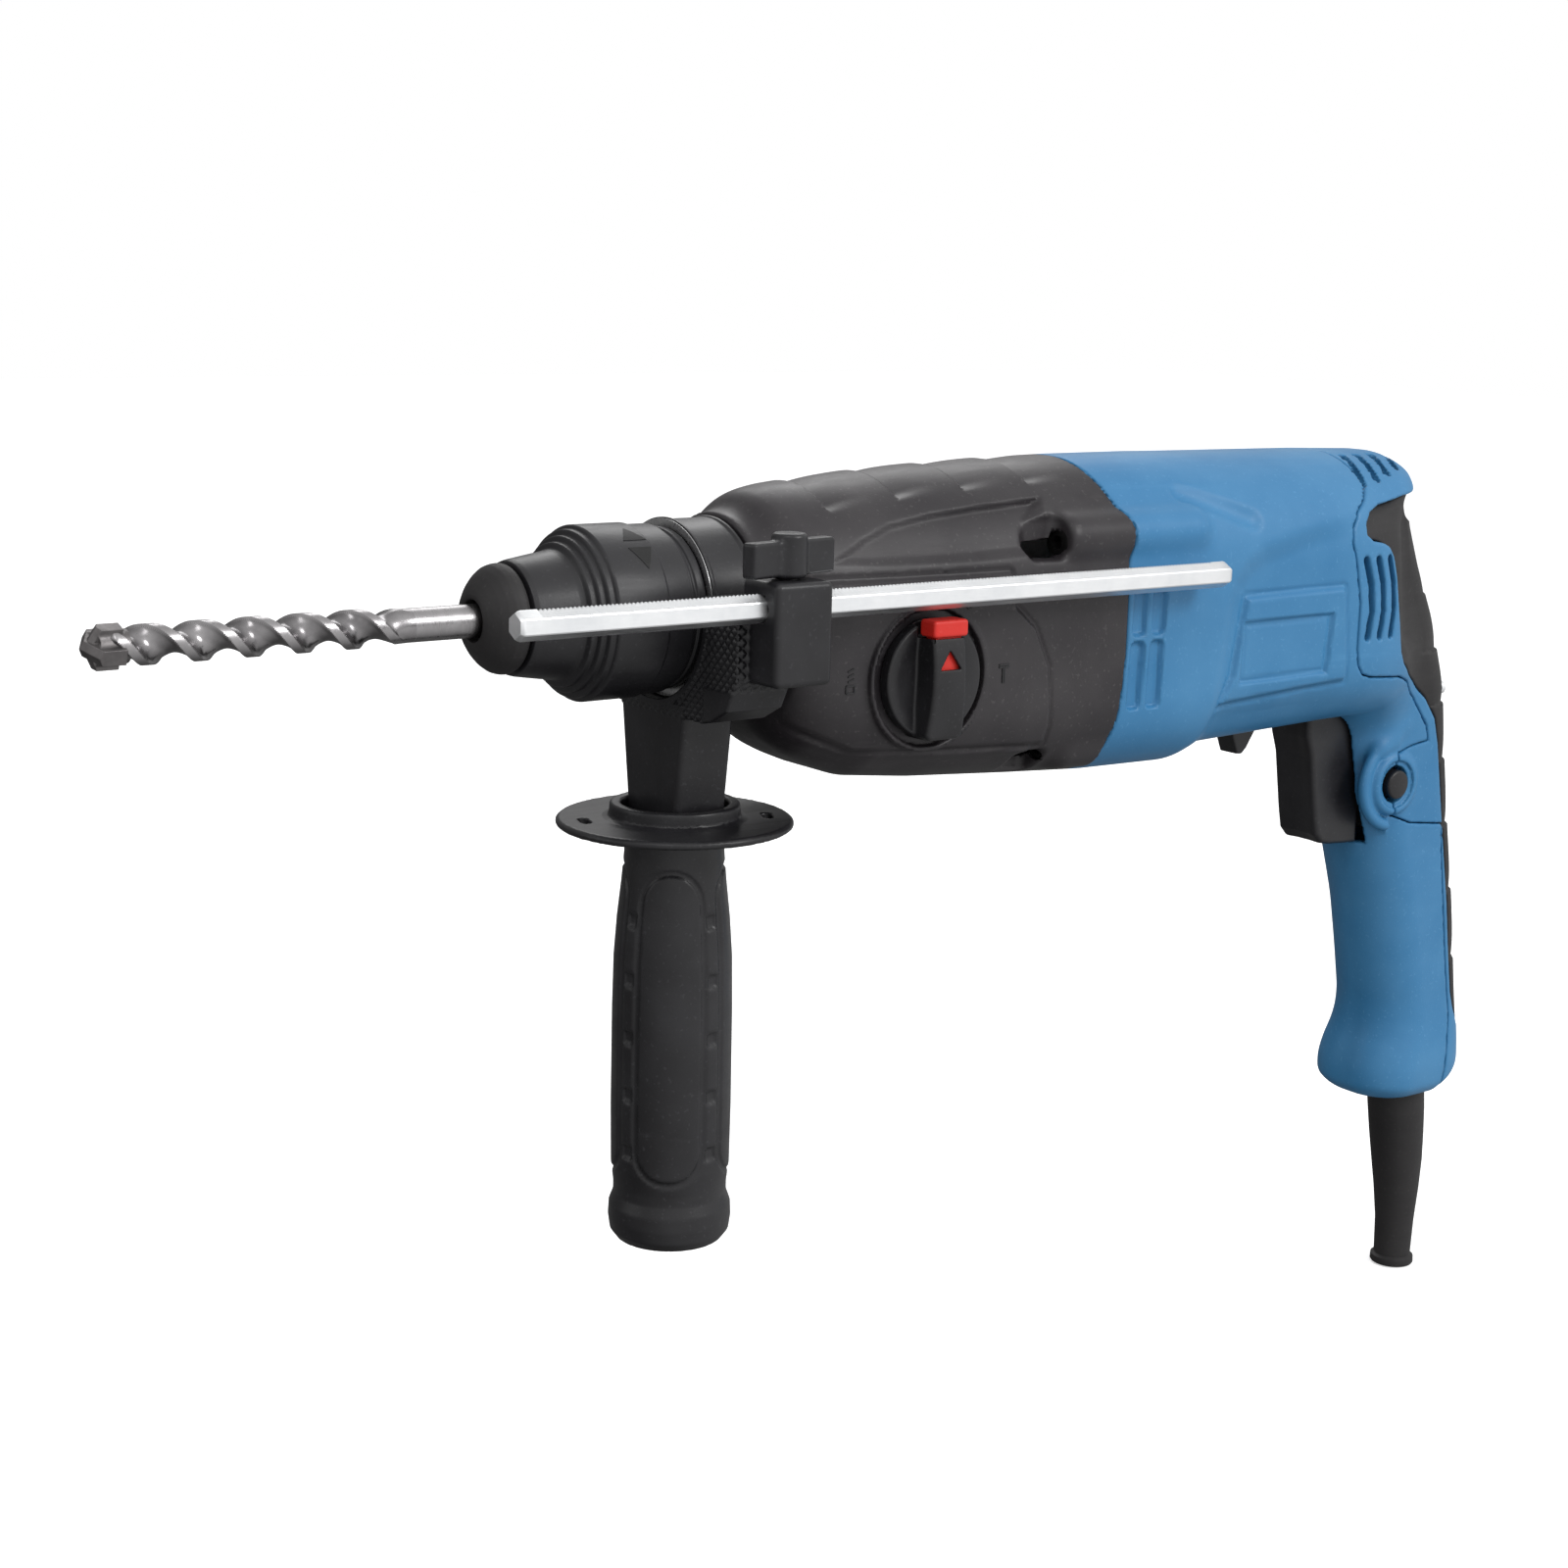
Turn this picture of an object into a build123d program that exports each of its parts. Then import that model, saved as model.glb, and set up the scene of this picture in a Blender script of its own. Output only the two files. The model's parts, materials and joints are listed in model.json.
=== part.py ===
from build123d import *
import math
import os

# Rotary hammer with a chuck for grooved 10 mm shanks, in millimetres.
# X runs back from the mouth of the chuck along the spindle, +Z is up, and the mode knob faces -Y.

os.makedirs("parts", exist_ok=True)

# ---- driving dimensions ----
WALL = 3.0                  # moulded housing wall
FIT = 0.05                  # radial clearance of running fits
GAP = 0.3                   # clearance between pieces that only pass each other

SHAFT_Z = -31.0             # intermediate shaft below the spindle
MOTOR_Z = -9.0              # armature below the spindle
MODULE = 1.0
SPINDLE_TEETH = 52
PINION_TEETH = 10
WHEEL_TEETH = 36
MOTOR_TEETH = 8

SHANK_R = 5.0               # drill shank
BALL_R = 3.5                # locking balls
BALL_X = 27.0
TUBE_R = 10.5               # spindle inside the chuck
SEAT_R = 12.5               # spindle in its ball bearing
CYLINDER_R = 17.5           # hammer cylinder
PISTON_R = 14.5
PISTON_LUG_HEIGHT = 15.6    # keeps the lugs' corners inside the cylinder
STRIKER_R = 11.5
COLLAR_R = 21.5             # housing collar that carries the side handle
COLLAR_X = (57.0, 72.0)
SLEEVE_BORE_R = 22.2

SPLIT_X = 195.0             # gear housing to motor housing
HANDLE_AXIS_X = 61.5        # side handle under the collar
BAND_R = 24.2
ROD_Y = -44.0               # depth rod
ROD_Z = 5.0
CLAMP_X = 66.0
ROD_FLATS = 6.8             # across flats of the hexagonal rod
ROD_REACH = ROD_FLATS / 2 / math.cos(math.pi / 6)
KNOB_X = 121.0              # mode knob
KNOB_Z = -19.0
KNOB_R = 16.4
KNOB_FACE_Y = -33.6         # floor of the round recess behind the knob
WOBBLE_X = 150.0
LOCK_X = 337.0              # lock-on button
LOCK_Z = -74.0
LEVER_X = 314.0             # pivot of the reversing lever
BOOT_X = 373.5
BOOT_NECK_R = 8.5
WING_TURN = 12              # wings turned a little from the rod
PIN_THROW = 5.0             # mode knob pin
FLUTE_LEAD = 26.6

SCREWS_YZ = [(-29, 15), (29, 15), (-24, -45), (24, -45)]
# Rear cover screws: y, z, front of the boss, where the bosses meet, seat of the head.
COVER_SCREWS = [
    (-13, -44, 324, 339.8, 361), (13, -44, 324, 339.8, 361),
    (-10.5, -176, 343, 374.5, 384), (10.5, -176, 343, 374.5, 384),
]

CROWN_R = 33.5              # upper corners of the body
# Cross-sections of the outer form: x, top, bottom, half width, radius of the lower corners.
GEAR_FORM = [
    (72, 25, -25, 25, 24),
    (77, 28.5, -29, 27, 24),
    (84, 31.3, -37, 29.5, 24),
    (96, 32.8, -44.5, 32, 24),
    (107, 33.8, -49, 33.5, 24),
    (130, 35.8, -51, 34.5, 24),
    (166, 37.1, -54, 35, 24),
    (195, 37.5, -55.8, 35.2, 24),
]
MOTOR_FORM = [
    (195, 37.5, -55.8, 35.2, 24),
    (232, 37, -56, 36, 24),
    (240, 37, -51.5, 36, 24),
    (300, 36.6, -49.5, 36, 24),
    (322, 36, -49.5, 34, 24),
    (343, 34.7, -40, 24, 20),
    (353.5, 30, 19, 13, 5),
]
CAVITY_END = (339, 35, -42, 26, 21)
# Handle, level by level: z, front, rear, half width, corner radius.
HANDLE_FORM = [
    (14, 320, 345, 20, 10),
    (0, 318, 350.5, 21, 10),
    (-20, 318, 359.5, 21, 10),
    (-43, 320, 367.5, 20, 10),
    (-60, 325, 372.5, 18.5, 12),
    (-80, 330, 376.5, 17.8, 13),
    (-100, 334, 381, 17, 13),
    (-118, 337.5, 385, 17, 13),
    (-137, 341, 388, 17, 13),
    (-155, 344, 390.5, 17.5, 13),
    (-166, 341, 391.2, 18.5, 13),
    (-181, 341, 391.2, 19.5, 14),
    (-188, 345, 388.5, 17.5, 14),
]
# Strain relief, ring by ring: x, z, radius.
BOOT_RINGS = [
    (370.5, -188.5, 10), (372.3, -202, 9.7), (374, -216, 9), (375, -228, 7.9), (375.3, -240, 6.7),
    (375.3, -253.5, 6.5), (375.3, -254.5, 7.6), (375.3, -256.5, 7.6),
]
# Everything behind this line in side view is the rear cover.
COVER_LINE = [
    (298, 60), (297, 26), (296, 14), (300, 0), (300, -28), (304, -33.5), (325, -36), (340, -44),
    (352, -52), (358, -62), (362, -78), (367, -100), (374, -137), (377, -164), (373, -195),
]
PAD_DEPTH = 2.6
PAD_HALF_WIDTH = 12.0
PAD_LEVELS = [row for row in HANDLE_FORM if -166 <= row[0]]


# ---- shared shapes ----
def turned(profile, axis_z=0.0):
    """Solid of revolution about a line along X, from (x, radius) points."""
    with BuildPart() as piece:
        with BuildSketch(Plane.XZ):
            with BuildLine():
                Polyline([(x, axis_z + radius) for x, radius in profile], close=True)
            make_face()
        revolve(axis=Axis((0, 0, axis_z), (1, 0, 0)))
    return piece.part


def tube(start, end, inner, outer, axis_z=0.0):
    return turned([(start, inner), (end, inner), (end, outer), (start, outer)], axis_z)


def cross_form(rows, inset=0.0):
    """Straight-sided loft through upright rounded sections along X, rounder at the top than at the bottom."""
    with BuildPart() as form:
        for x, top, bottom, half, radius in rows:
            upper = min(CROWN_R, half - 1, top - bottom - radius - 1) - inset
            low, high, side = bottom + inset, top - inset, half - inset
            with BuildSketch(Plane.YZ.offset(x)):
                with BuildLine():
                    FilletPolyline((-side, low), (side, low), (side, high), (-side, high),
                                   radius=[radius - inset, radius - inset, upper, upper], close=True)
                make_face()
        loft(ruled=True)
    return form.part


def level_form(rows, front=0.0, rear=0.0, side=0.0):
    """Straight-sided loft through level rounded sections along Z."""
    with BuildPart() as form:
        for z, front_x, rear_x, half, radius in rows:
            depth = rear_x - rear - front_x - front
            with BuildSketch(Plane.XY.offset(z)):
                with Locations((front_x + front + depth / 2, 0)):
                    RectangleRounded(depth, 2 * (half - side), radius - side)
        loft(ruled=True)
    return form.part


def side_prism(points, half_width):
    """Prism across the tool from a closed (x, z) outline."""
    with BuildPart() as prism:
        with BuildSketch(Plane.XZ):
            with BuildLine():
                Polyline(points, close=True)
            make_face()
        extrude(amount=half_width, both=True)
    return prism.part


def ring_sector(inner, outer, start, size, x_range):
    """Part of a ring about the armature axis."""
    with BuildPart() as sector:
        with BuildSketch(Plane.YZ.offset(x_range[0])):
            with BuildLine():
                far = CenterArc((0, MOTOR_Z), outer, start, size)
                near = CenterArc((0, MOTOR_Z), inner, start, size)
                Line(far @ 0, near @ 0)
                Line(far @ 1, near @ 1)
            make_face()
        extrude(amount=x_range[1] - x_range[0])
    return sector.part


def spur_gear(teeth, x_range, bore, axis_z, first_tooth):
    """Straight-cut gear about a line along X, with slim teeth for easy backlash."""
    pitch = MODULE * teeth / 2
    root, tip = pitch - 1.15 * MODULE, pitch + 0.8 * MODULE
    root_half, tip_half = 0.72 * MODULE / root, 0.3 * MODULE / tip
    outline = []
    for tooth in range(teeth):
        middle = math.radians(first_tooth + 360 / teeth * tooth)
        for radius, turn in ((root, -root_half), (tip, -tip_half), (tip, tip_half), (root, root_half)):
            angle = middle + turn
            outline.append((radius * math.cos(angle), axis_z + radius * math.sin(angle)))
    with BuildPart() as gear:
        with BuildSketch(Plane.YZ.offset(x_range[0])):
            with BuildLine():
                Polyline(outline, close=True)
            make_face()
            with Locations((0, axis_z)):
                Circle(bore, mode=Mode.SUBTRACT)
        extrude(amount=x_range[1] - x_range[0])
    return gear.part


def coil_spring(start, end, radius, wire, turns):
    """Round-wire compression spring about the spindle axis."""
    pitch = (end - start - 2 * wire) / turns
    with BuildPart() as spring:
        with BuildLine() as path:
            Helix(pitch, pitch * turns, radius, center=(start + wire, 0, 0), direction=(1, 0, 0))
        with BuildSketch(Plane(path.line @ 0, z_dir=path.line % 0)):
            Circle(wire)
        sweep(path=path.line, is_frenet=True)
    return spring.part


def save(piece, name):
    piece.label = name
    export_step(piece, f"parts/{name}.step")


# ---- gear housing ----
with BuildPart() as gear_housing:
    add(cross_form(GEAR_FORM))
    add(cross_form([row for row in GEAR_FORM if row[0] > 80], WALL), mode=Mode.SUBTRACT)
    # Seat of the needle bearing at the front of the intermediate shaft.
    with BuildSketch(Plane.YZ.offset(84)):
        with Locations((0, SHAFT_Z + 2)):
            Rectangle(18, 16)
    extrude(amount=13)
    # Screw bosses at the rear.
    for y, z in SCREWS_YZ:
        with BuildSketch(Plane.YZ.offset(166)):
            with Locations((y, z)):
                Circle(6)
        extrude(amount=SPLIT_X - 166)
    add(cross_form(GEAR_FORM), mode=Mode.INTERSECT)
    add(tube(COLLAR_X[0], COLLAR_X[1], 18.5, COLLAR_R))
    add(turned([(56, 0), (70, 0), (70, SEAT_R + 0.7), (56, 18.5)]), mode=Mode.SUBTRACT)
    add(tube(62, 70, 0, 18.5), mode=Mode.SUBTRACT)
    add(tube(69, 90, 0, SEAT_R + 0.7), mode=Mode.SUBTRACT)
    add(tube(88, 98, 0, 6.0, SHAFT_Z), mode=Mode.SUBTRACT)
    # Screw heads drop in from the front.
    for y, z in SCREWS_YZ:
        with BuildSketch(Plane.YZ.offset(160)):
            with Locations((y, z)):
                Circle(4.7)
        extrude(amount=17, mode=Mode.SUBTRACT)
        with BuildSketch(Plane.YZ.offset(175)):
            with Locations((y, z)):
                Circle(2.5)
        extrude(amount=25, mode=Mode.SUBTRACT)
    # Round recess and through hole for the mode knob.
    with BuildSketch(Plane.XZ.offset(-KNOB_FACE_Y)):
        with Locations((KNOB_X, KNOB_Z)):
            Circle(KNOB_R + 2.6)
    extrude(amount=10, mode=Mode.SUBTRACT)
    with BuildSketch(Plane.XZ.offset(25)):
        with Locations((KNOB_X, KNOB_Z)):
            Circle(8 + FIT)
    extrude(amount=20, mode=Mode.SUBTRACT)
save(gear_housing.part, "gear_housing")

# ---- bearings and seal ----
save(tube(63, 70, SEAT_R, 18.5), "spindle_bearing")
save(turned([(58, SEAT_R + FIT), (62, SEAT_R + FIT), (62, 18.5), (58, 18.5), (58, 17),
             (60.8, 17), (60.8, 14), (58, 14)]), "oil_seal")
save(tube(130, 136, CYLINDER_R + FIT, 21), "spindle_rear_bush")

with BuildPart() as shaft_bearings:
    add(tube(88, 97, 4 + FIT, 6.0, SHAFT_Z))
    add(tube(186, 193, 4 + FIT, 6.0, SHAFT_Z))
save(shaft_bearings.part, "intermediate_bearings")

with BuildPart() as motor_bearings:
    for start in (186, 306):
        add(tube(start, start + 7, 4 + FIT, 11, MOTOR_Z))
save(motor_bearings.part, "armature_bearings")

# ---- inner housing: bearing plate with two arms out to the rear spindle bush ----
with BuildPart() as inner_housing:
    with BuildSketch(Plane.YZ.offset(186)):
        with BuildLine():
            FilletPolyline((-31, -50.7), (31, -50.7), (31, 33.3), (-31, 33.3), radius=[20, 20, 29.8, 29.8],
                           close=True)
        make_face()
    extrude(amount=7)
    for y, z in SCREWS_YZ:
        with BuildSketch(Plane.YZ.offset(186)):
            with Locations((y, z)):
                Circle(6.3)
        extrude(amount=7, mode=Mode.SUBTRACT)
    add(tube(130, 136, 21, 25))
    for side in (-1, 1):
        with BuildSketch(Plane.YZ.offset(130)):
            with Locations((side * 23.5, 3)):
                Rectangle(4, 14)
        extrude(amount=57)
    add(tube(184, 195, 0, 11, MOTOR_Z), mode=Mode.SUBTRACT)
    add(tube(184, 195, 0, 6, SHAFT_Z), mode=Mode.SUBTRACT)
    add(tube(128, 138, 0, 21), mode=Mode.SUBTRACT)
save(inner_housing.part, "inner_housing")

# ---- motor housing and rear cover share one outer form and one cavity ----
cavity_rows = [row for row in MOTOR_FORM if row[0] < 340] + [CAVITY_END]
handle_cavity_rows = [row for row in HANDLE_FORM if -182 < row[0] < 5]
with BuildPart() as rear_outer:
    add(cross_form(MOTOR_FORM))
    add(level_form(HANDLE_FORM))
with BuildPart() as rear_cavity:
    add(cross_form(cavity_rows, WALL))
    add(level_form(handle_cavity_rows, WALL, WALL + PAD_DEPTH, WALL))
cover_block = side_prism(COVER_LINE + [(400, -195), (400, 60)], 60)

with BuildPart() as rear_grip_pad:
    add(level_form(PAD_LEVELS))
    pad_seat = [(z, front, rear - PAD_DEPTH, half, radius) for z, front, rear, half, radius in PAD_LEVELS]
    add(level_form(pad_seat), mode=Mode.SUBTRACT)
    with BuildSketch(Plane.YZ.offset(340)):
        with Locations((0, -76)):
            Rectangle(2 * PAD_HALF_WIDTH, 180)
    extrude(amount=60, mode=Mode.INTERSECT)
save(rear_grip_pad.part, "rear_grip_pad")

with BuildPart() as motor_housing:
    add(rear_outer.part)
    add(rear_cavity.part, mode=Mode.SUBTRACT)
    add(cover_block, mode=Mode.SUBTRACT)
    # Bosses that take the long housing screws.
    for y, z in SCREWS_YZ:
        with BuildSketch(Plane.YZ.offset(SPLIT_X)):
            with Locations((y, z)):
                Circle(5)
        extrude(amount=28)
        with BuildSketch(Plane.YZ.offset(SPLIT_X)):
            with Locations((y, z)):
                Circle(2.5)
        extrude(amount=27.5, mode=Mode.SUBTRACT)
    # Bracket across the rear that holds the rear armature bearing.
    for side in (-1, 1):
        with BuildSketch(Plane.XY.offset(MOTOR_Z - 6)):
            with BuildLine():
                Polyline([(290, side * 33.2), (304, side * 30), (304, side * 13), (313, side * 13),
                          (313, side * 32), (290, side * 35)], close=True)
            make_face()
        extrude(amount=12)
    add(tube(304, 313, 11, 15, MOTOR_Z))
    add(tube(300, 306, 0, 15.5, MOTOR_Z), mode=Mode.SUBTRACT)
    add(tube(303, 306, 8, 15, MOTOR_Z))
    # Screw bosses for the rear cover.
    for y, z, front, meet, head in COVER_SCREWS:
        with BuildSketch(Plane.YZ.offset(front)):
            with Locations((y, z)):
                Circle(4.5)
        extrude(amount=meet - front)
        with BuildSketch(Plane.YZ.offset(front + 3)):
            with Locations((y, z)):
                Circle(1.7)
        extrude(amount=meet - front, mode=Mode.SUBTRACT)
    # Opening in front of the handle for the trigger.
    with BuildSketch(Plane.XZ):
        with BuildLine():
            Polyline([(262, -49.5), (336.8, -49.5), (336.8, -96), (262, -96)], close=True)
        make_face()
    extrude(amount=10.4, both=True, mode=Mode.SUBTRACT)
    # Shallow recess that the reversing lever swings in.
    with BuildSketch(Plane.XY.offset(-60)):
        with Locations((281, 0)):
            Rectangle(38, 34)
    extrude(amount=10.5, mode=Mode.SUBTRACT)
    # Lock-on button: shallow ring, dished mouth and guide hole.
    for radius, depth_y in ((10.4, -17.1), (6.6, -15.8), (5.2 + FIT, -9)):
        with BuildSketch(Plane.XZ.offset(-depth_y)):
            with Locations((LOCK_X, LOCK_Z)):
                Circle(radius)
        extrude(amount=14, mode=Mode.SUBTRACT)
    # Pivot hole of the reversing lever.
    with BuildSketch(Plane.XY.offset(-55)):
        with Locations((LEVER_X, 0)):
            Circle(3 + FIT)
    extrude(amount=12, mode=Mode.SUBTRACT)
    # Cord boot outlet.
    with BuildSketch(Plane.XY.offset(-195)):
        with Locations((BOOT_X - 3, 0)):
            Circle(BOOT_NECK_R + 0.2)
    extrude(amount=20, mode=Mode.SUBTRACT)
    # Air outlet slots beside the fan.
    for side in (-1, 1):
        with BuildSketch(Plane.XZ):
            with Locations((200, -5), (207, -5), (200, -23), (207, -23)):
                RectangleRounded(3, 13, 1.2)
        extrude(amount=side * 45, mode=Mode.SUBTRACT)
save(motor_housing.part, "motor_housing")

with BuildPart() as rear_cover:
    add(rear_outer.part)
    add(rear_cavity.part, mode=Mode.SUBTRACT)
    add(cover_block, mode=Mode.INTERSECT)
    add(rear_grip_pad.part, mode=Mode.SUBTRACT)
    add(motor_housing.part, mode=Mode.SUBTRACT)
    with BuildSketch(Plane.XY.offset(-195)):
        with Locations((BOOT_X - 3, 0)):
            Circle(BOOT_NECK_R + 0.2)
    extrude(amount=20, mode=Mode.SUBTRACT)
    # Screw bosses that meet the ones in the motor housing.
    for y, z, front, meet, head in COVER_SCREWS:
        with BuildSketch(Plane.YZ.offset(meet)):
            with Locations((y, z)):
                Circle(4.5)
        extrude(amount=head + 2 - meet)
        with BuildSketch(Plane.YZ.offset(meet - 4)):
            with Locations((y, z)):
                Circle(1.7)
        extrude(amount=40, mode=Mode.SUBTRACT)
        with BuildSketch(Plane.YZ.offset(head)):
            with Locations((y, z)):
                Circle(2.3)
        extrude(amount=40, mode=Mode.SUBTRACT)
    # Air inlet slots in each side and over the top corner.
    for side in (-1, 1):
        with BuildSketch(Plane.XZ):
            with Locations((303, -8), (308, -8), (313, -8)):
                RectangleRounded(2.2, 25, 1)
        extrude(amount=side * 45, mode=Mode.SUBTRACT)
        with BuildSketch(Plane.XY.offset(20)):
            with Locations(*[(x, side * 24) for x in (306, 313, 320, 327)]):
                RectangleRounded(2.6, 18, 1.2)
        extrude(amount=30, mode=Mode.SUBTRACT)
save(rear_cover.part, "rear_cover")

# ---- fasteners of the housings ----
with BuildPart() as housing_screws:
    for y, z in SCREWS_YZ:
        with BuildSketch(Plane.YZ.offset(171.5)):
            with Locations((y, z)):
                Circle(4.3)
        extrude(amount=5.2)
        with BuildSketch(Plane.YZ.offset(171.5)):
            with Locations((y, z)):
                RegularPolygon(2.2, 6)
        extrude(amount=3, mode=Mode.SUBTRACT)
        with BuildSketch(Plane.YZ.offset(176.7)):
            with Locations((y, z)):
                Circle(2.4)
        extrude(amount=43)
save(housing_screws.part, "housing_screws")

with BuildPart() as cover_screws:
    for y, z, front, meet, head in COVER_SCREWS:
        with BuildSketch(Plane.YZ.offset(front + 4)):
            with Locations((y, z)):
                Circle(1.65)
        extrude(amount=head - front - 4)
        with BuildSketch(Plane.YZ.offset(head)):
            with Locations((y, z)):
                Circle(2.2)
        extrude(amount=1.8)
save(cover_screws.part, "cover_screws")

# ---- spindle ----
with BuildPart() as spindle_tube:
    add(turned([(2.5, SHANK_R + FIT), (60, SHANK_R + FIT), (60, 7.55), (90, 7.55),
                (90, PISTON_R + FIT), (137, PISTON_R + FIT), (137, CYLINDER_R), (130, CYLINDER_R),
                (130, 21), (128, 21), (128, CYLINDER_R), (90, CYLINDER_R), (86, SEAT_R), (52, SEAT_R),
                (52, TUBE_R), (9, TUBE_R), (9, 9.5), (2.5, 9.5)]))
    # Windows for the two locking balls.
    with BuildSketch(Plane.XZ):
        with Locations((BALL_X, 0)):
            Circle(BALL_R + 0.1)
    extrude(amount=15, both=True, mode=Mode.SUBTRACT)
    # Driving keys that run in the open grooves of the shank.
    for side in (-1, 1):
        with BuildSketch(Plane.XY.offset(side * 3.9)):
            with Locations((36, 0)):
                Rectangle(24, 4.4)
        extrude(amount=side * 2.6)
save(spindle_tube.part, "spindle_tube")
save(spur_gear(SPINDLE_TEETH, (100, 110), CYLINDER_R, 0, -90 + 180 / SPINDLE_TEETH), "spindle_gear")
save(coil_spring(111, 127.5, 19.4, 1.3, 4), "clutch_spring")
save(turned([(40, 20.4), (40, 21.9), (56.5, 21.9), (56.5, SEAT_R), (53, SEAT_R), (53, 20.4)]), "chuck_ring")
save(coil_spring(26.2, 52.8, 16, 1.1, 6), "sleeve_spring")
save(turned([(0, 6.2), (0.6, 7.4), (2.2, 9.6), (4.4, 12.2), (6.2, 13.9), (7.7, 14.4), (7.9, 9.5),
             (2.5, 9.5), (2.5, 6.0), (1.2, 5.35), (0.4, 5.45)]), "dust_cap")
with BuildPart() as locking_balls:
    with Locations((BALL_X, -7, 0), (BALL_X, 7, 0)):
        Sphere(BALL_R)
save(locking_balls.part, "locking_balls")

# ---- lock sleeve ----
with BuildPart() as lock_sleeve:
    add(turned([(8.5, TUBE_R + 0.35), (20, TUBE_R + 0.35), (20, 13.5), (26, 13.5), (26, SLEEVE_BORE_R - 4),
                (30, SLEEVE_BORE_R), (51.5, SLEEVE_BORE_R), (51.5, 22.9), (43.5, 22.9), (43, 23.3),
                (28.4, 23.3), (26.6, 22.5), (26, 20.9), (24.2, 20.5), (23.6, 18.9), (21.6, 18.4),
                (21, 16.5), (8.5, 14.6)]))
    # Grip scallops round the widest part.
    with BuildSketch(Plane.YZ.offset(30)):
        with PolarLocations(25.3, 12):
            Circle(2.4)
    extrude(amount=12, mode=Mode.SUBTRACT)
save(lock_sleeve.part, "lock_sleeve")
save(turned([(20.2, TUBE_R + 0.35), (34, TUBE_R + 0.35), (34, 13.5), (20.2, 13.5)]), "ball_retainer")

# ---- drill bit ----
with BuildPart() as carbide_tip:
    for plane, reach, thickness in ((Plane.XZ, 5.5, 1.4), (Plane.XY, 4.7, 1.1)):
        with BuildSketch(plane):
            with BuildLine():
                Polyline([(-104, 0), (-101.2, reach), (-95.5, reach), (-95.5, -reach), (-101.2, -reach)],
                         close=True)
            make_face()
        extrude(amount=thickness, both=True)
save(carbide_tip.part, "carbide_tip")

with BuildPart() as drill_bit:
    with BuildSketch(Plane.YZ.offset(-98)):
        with BuildLine():
            for start in (0, 180):
                rim = CenterArc((0, 0), 5, start - 34, 68)
                core = CenterArc((0, 0), 3.1, start + 52, 76)
                Line(rim @ 1, core @ 0)
                Line(core @ 1, PolarLine((0, 0), 5, start + 146, mode=Mode.PRIVATE) @ 1)
        make_face()
    flute_path = Edge.make_line((-98, 0, 0), (-22, 0, 0))
    twist = Edge.make_helix(FLUTE_LEAD, 76, 6, center=(-98, 0, 0), normal=(1, 0, 0))
    sweep(path=flute_path, binormal=twist)
    add(turned([(-100.8, 0), (-100.8, 4.2), (-97, 4.4), (-96, 0)]))
    add(turned([(-24, 0), (-24, 3.1), (-19, 4.35), (2, 4.35), (6, SHANK_R), (49, SHANK_R), (50, 4), (50, 0)]))
    # Open driving grooves top and bottom, closed locking grooves at the sides.
    for side in (-1, 1):
        with BuildSketch(Plane.XY.offset(side * 3.6)):
            with Locations((33, 0)):
                Rectangle(36, 4.8)
        extrude(amount=side * 3, mode=Mode.SUBTRACT)
        with BuildSketch(Plane.XZ.offset(side * 3.3)):
            with Locations((BALL_X + 4.2, 0)):
                SlotOverall(16, 7.6)
        extrude(amount=side * 3, mode=Mode.SUBTRACT)
    add(carbide_tip.part, mode=Mode.SUBTRACT)
save(drill_bit.part, "drill_bit")

# ---- hammer mechanism ----
save(turned([(54.4, 0), (54.4, 4.3), (55.2, SHANK_R), (64, SHANK_R), (64.5, 7.5), (80, 7.5), (81, 5),
             (92.4, 5), (93, 4.4), (93, 0)]), "beat_piece")
save(turned([(97, 0), (97, 5), (97.6, 5.6), (103, 5.6), (104, STRIKER_R), (110.4, STRIKER_R), (110.4, 9.8),
             (112.6, 9.8), (112.6, STRIKER_R), (121.4, STRIKER_R), (122, 10.8), (122, 0)]), "striker")
with BuildPart() as striker_ring:
    with BuildSketch(Plane.XZ):
        with Locations((111.5, 10.6)):
            Circle(0.8)
    revolve(axis=Axis.X)
save(striker_ring.part, "striker_ring")

with BuildPart() as piston:
    add(turned([(100, STRIKER_R + FIT), (132, STRIKER_R + FIT), (132, 0), (138, 0), (138, PISTON_R),
                (100, PISTON_R)]))
    for side in (-1, 1):
        with BuildSketch(Plane.XZ.offset(side * 6.5)):
            with Locations((148, 0)):
                RectangleRounded(21, PISTON_LUG_HEIGHT, 3)
        extrude(amount=side * 5.5)
    with BuildSketch(Plane.XZ):
        with Locations((WOBBLE_X, 0)):
            Circle(6.5 + FIT)
    extrude(amount=15, both=True, mode=Mode.SUBTRACT)
save(piston.part, "piston")

with BuildPart() as piston_pin:
    with BuildSketch(Plane.XZ):
        with Locations((WOBBLE_X, 0)):
            Circle(6.5)
    extrude(amount=12, both=True)
    with BuildSketch(Plane.XY):
        with Locations((WOBBLE_X, 0)):
            Circle(3 + GAP)
    extrude(amount=10, both=True, mode=Mode.SUBTRACT)
save(piston_pin.part, "piston_pin")

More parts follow.
